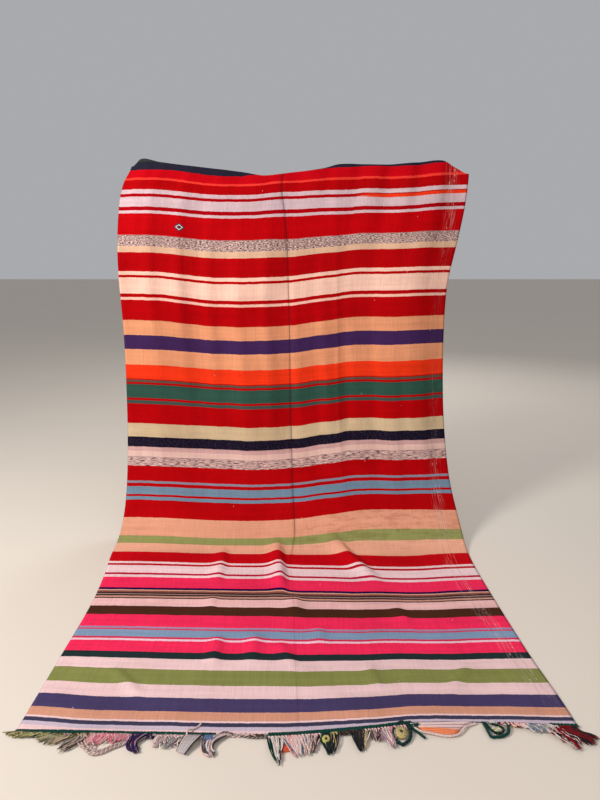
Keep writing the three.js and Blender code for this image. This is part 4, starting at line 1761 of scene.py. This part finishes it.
@dataclass
class Studio:
    """A plain pale floor, soft light and the camera."""

    shift: np.ndarray
    camera_distance: float = 1.3327
    camera_height: float = 1.2327
    camera_pitch: float = 13.59
    lens: float = 27.0
    sky: Dye = Dye(226, 228, 232)
    sky_strength: float = 0.52
    floor_dye: Dye = Dye(216, 205, 192)
    floor_size: float = 30.0
    floor_drop: float = 0.0006
    lights: tuple[SoftLight, ...] = (
        SoftLight("key", (-3.0, -1.7, 2.7), (0.0, 0.2, 0.6), 1.3, 156.0, (1.0, 0.98, 0.95)),
        SoftLight("front", (0.6, -4.2, 3.0), (0.0, 0.3, 0.8), 2.6, 46.0),
        SoftLight("back", (1.5, 4.0, 3.2), (0.0, 0.5, 0.8), 3.0, 60.0),
    )

    def build(self) -> None:
        """Makes the camera, floor, world and lamps."""
        self.make_camera()
        self.make_floor()
        world = bpy.data.worlds.new("soft room")
        world.use_nodes = True
        background = world.node_tree.nodes["Background"]
        background.inputs["Color"].default_value = self.sky.linear()
        background.inputs["Strength"].default_value = self.sky_strength
        bpy.context.scene.world = world
        bpy.context.scene.view_settings.view_transform = "Standard"
        for light in self.lights:
            self.make_light(light)

    @staticmethod
    def put(name: str, data: bpy.types.ID, place: tuple, turn: tuple = (0.0, 0.0, 0.0)) -> bpy.types.Object:
        """Puts a thing of the studio in its place.

        Args:
            name: what it is called.
            data: its mesh, lamp or camera.
            place: where it goes.
            turn: its turn about X, Y and Z, in radians.

        Returns:
            The new object.
        """
        thing = bpy.data.objects.new(name, data)
        thing.location = place
        thing.rotation_euler = turn
        bpy.context.scene.collection.objects.link(thing)
        return thing

    def make_camera(self) -> None:
        """Stands the camera in front of the near end, looking slightly down."""
        data = bpy.data.cameras.new("camera")
        data.lens = self.lens
        place = (self.shift[0], self.shift[1] - self.camera_distance, self.camera_height)
        turn = (math.radians(90 - self.camera_pitch), 0.0, 0.0)
        bpy.context.scene.camera = self.put("camera", data, place, turn)

    def make_floor(self) -> None:
        """Lays a wide pale floor."""
        mesh = bpy.data.meshes.new("floor")
        size = self.floor_size
        corners = [(-size, -size, 0), (size, -size, 0), (size, size, 0), (-size, size, 0)]
        mesh.from_pydata(corners, [], [(0, 1, 2, 3)])
        material, bench = new_material("pale floor")
        place = bench.add("ShaderNodeTexCoord").outputs["Object"]
        cloud = bench.noise(place, (1.5, 1.5, 1.5), 3.0)
        shader = bench.add("ShaderNodeBsdfPrincipled", {
            "Base Color": bench.blend(cloud, self.floor_dye.linear(0.97), self.floor_dye.linear(1.03)),
            "Roughness": bench.line(cloud, 0.1, 0.55), "Specular IOR Level": 0.25})
        bench.add("ShaderNodeOutputMaterial", {"Surface": shader.outputs[0]})
        mesh.materials.append(material)
        floor = self.put("floor", mesh, (0.0, 0.0, -self.floor_drop))

    def make_light(self, light: SoftLight) -> None:
        """Hangs one soft lamp and turns it to its target.

        Args:
            light: the lamp.
        """
        data = bpy.data.lights.new(light.name, "AREA")
        data.shape = "DISK"
        data.size, data.energy, data.color = light.size, light.power, light.colour
        aim = np.array(light.target) - np.array(light.place)
        turn = (math.atan2(math.hypot(aim[0], aim[1]), -aim[2]), 0.0, math.atan2(-aim[0], aim[1]))
        self.put(light.name, data, light.place, turn)


def main() -> None:
    """Builds the rug piece by piece."""
    logging.basicConfig(level=logging.INFO, format="%(name)s %(message)s")
    drape = Drape()
    low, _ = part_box("rug_cloth")
    shift = np.array([low[0] + LEFT_OF_ORIGIN, low[1], 0.0])
    Studio(shift).build()
    effects = SharedEffects()
    cloth = KilimCloth(drape, WovenFinish(effects)).build(shift)
    yarns = YarnFinish(effects).materials()
    edge = TwinedEdge(drape)
    twining = edge.build(yarns, shift)
    fringe = Fringe(edge).build(yarns, shift)


if __name__ == "__main__":
    main()
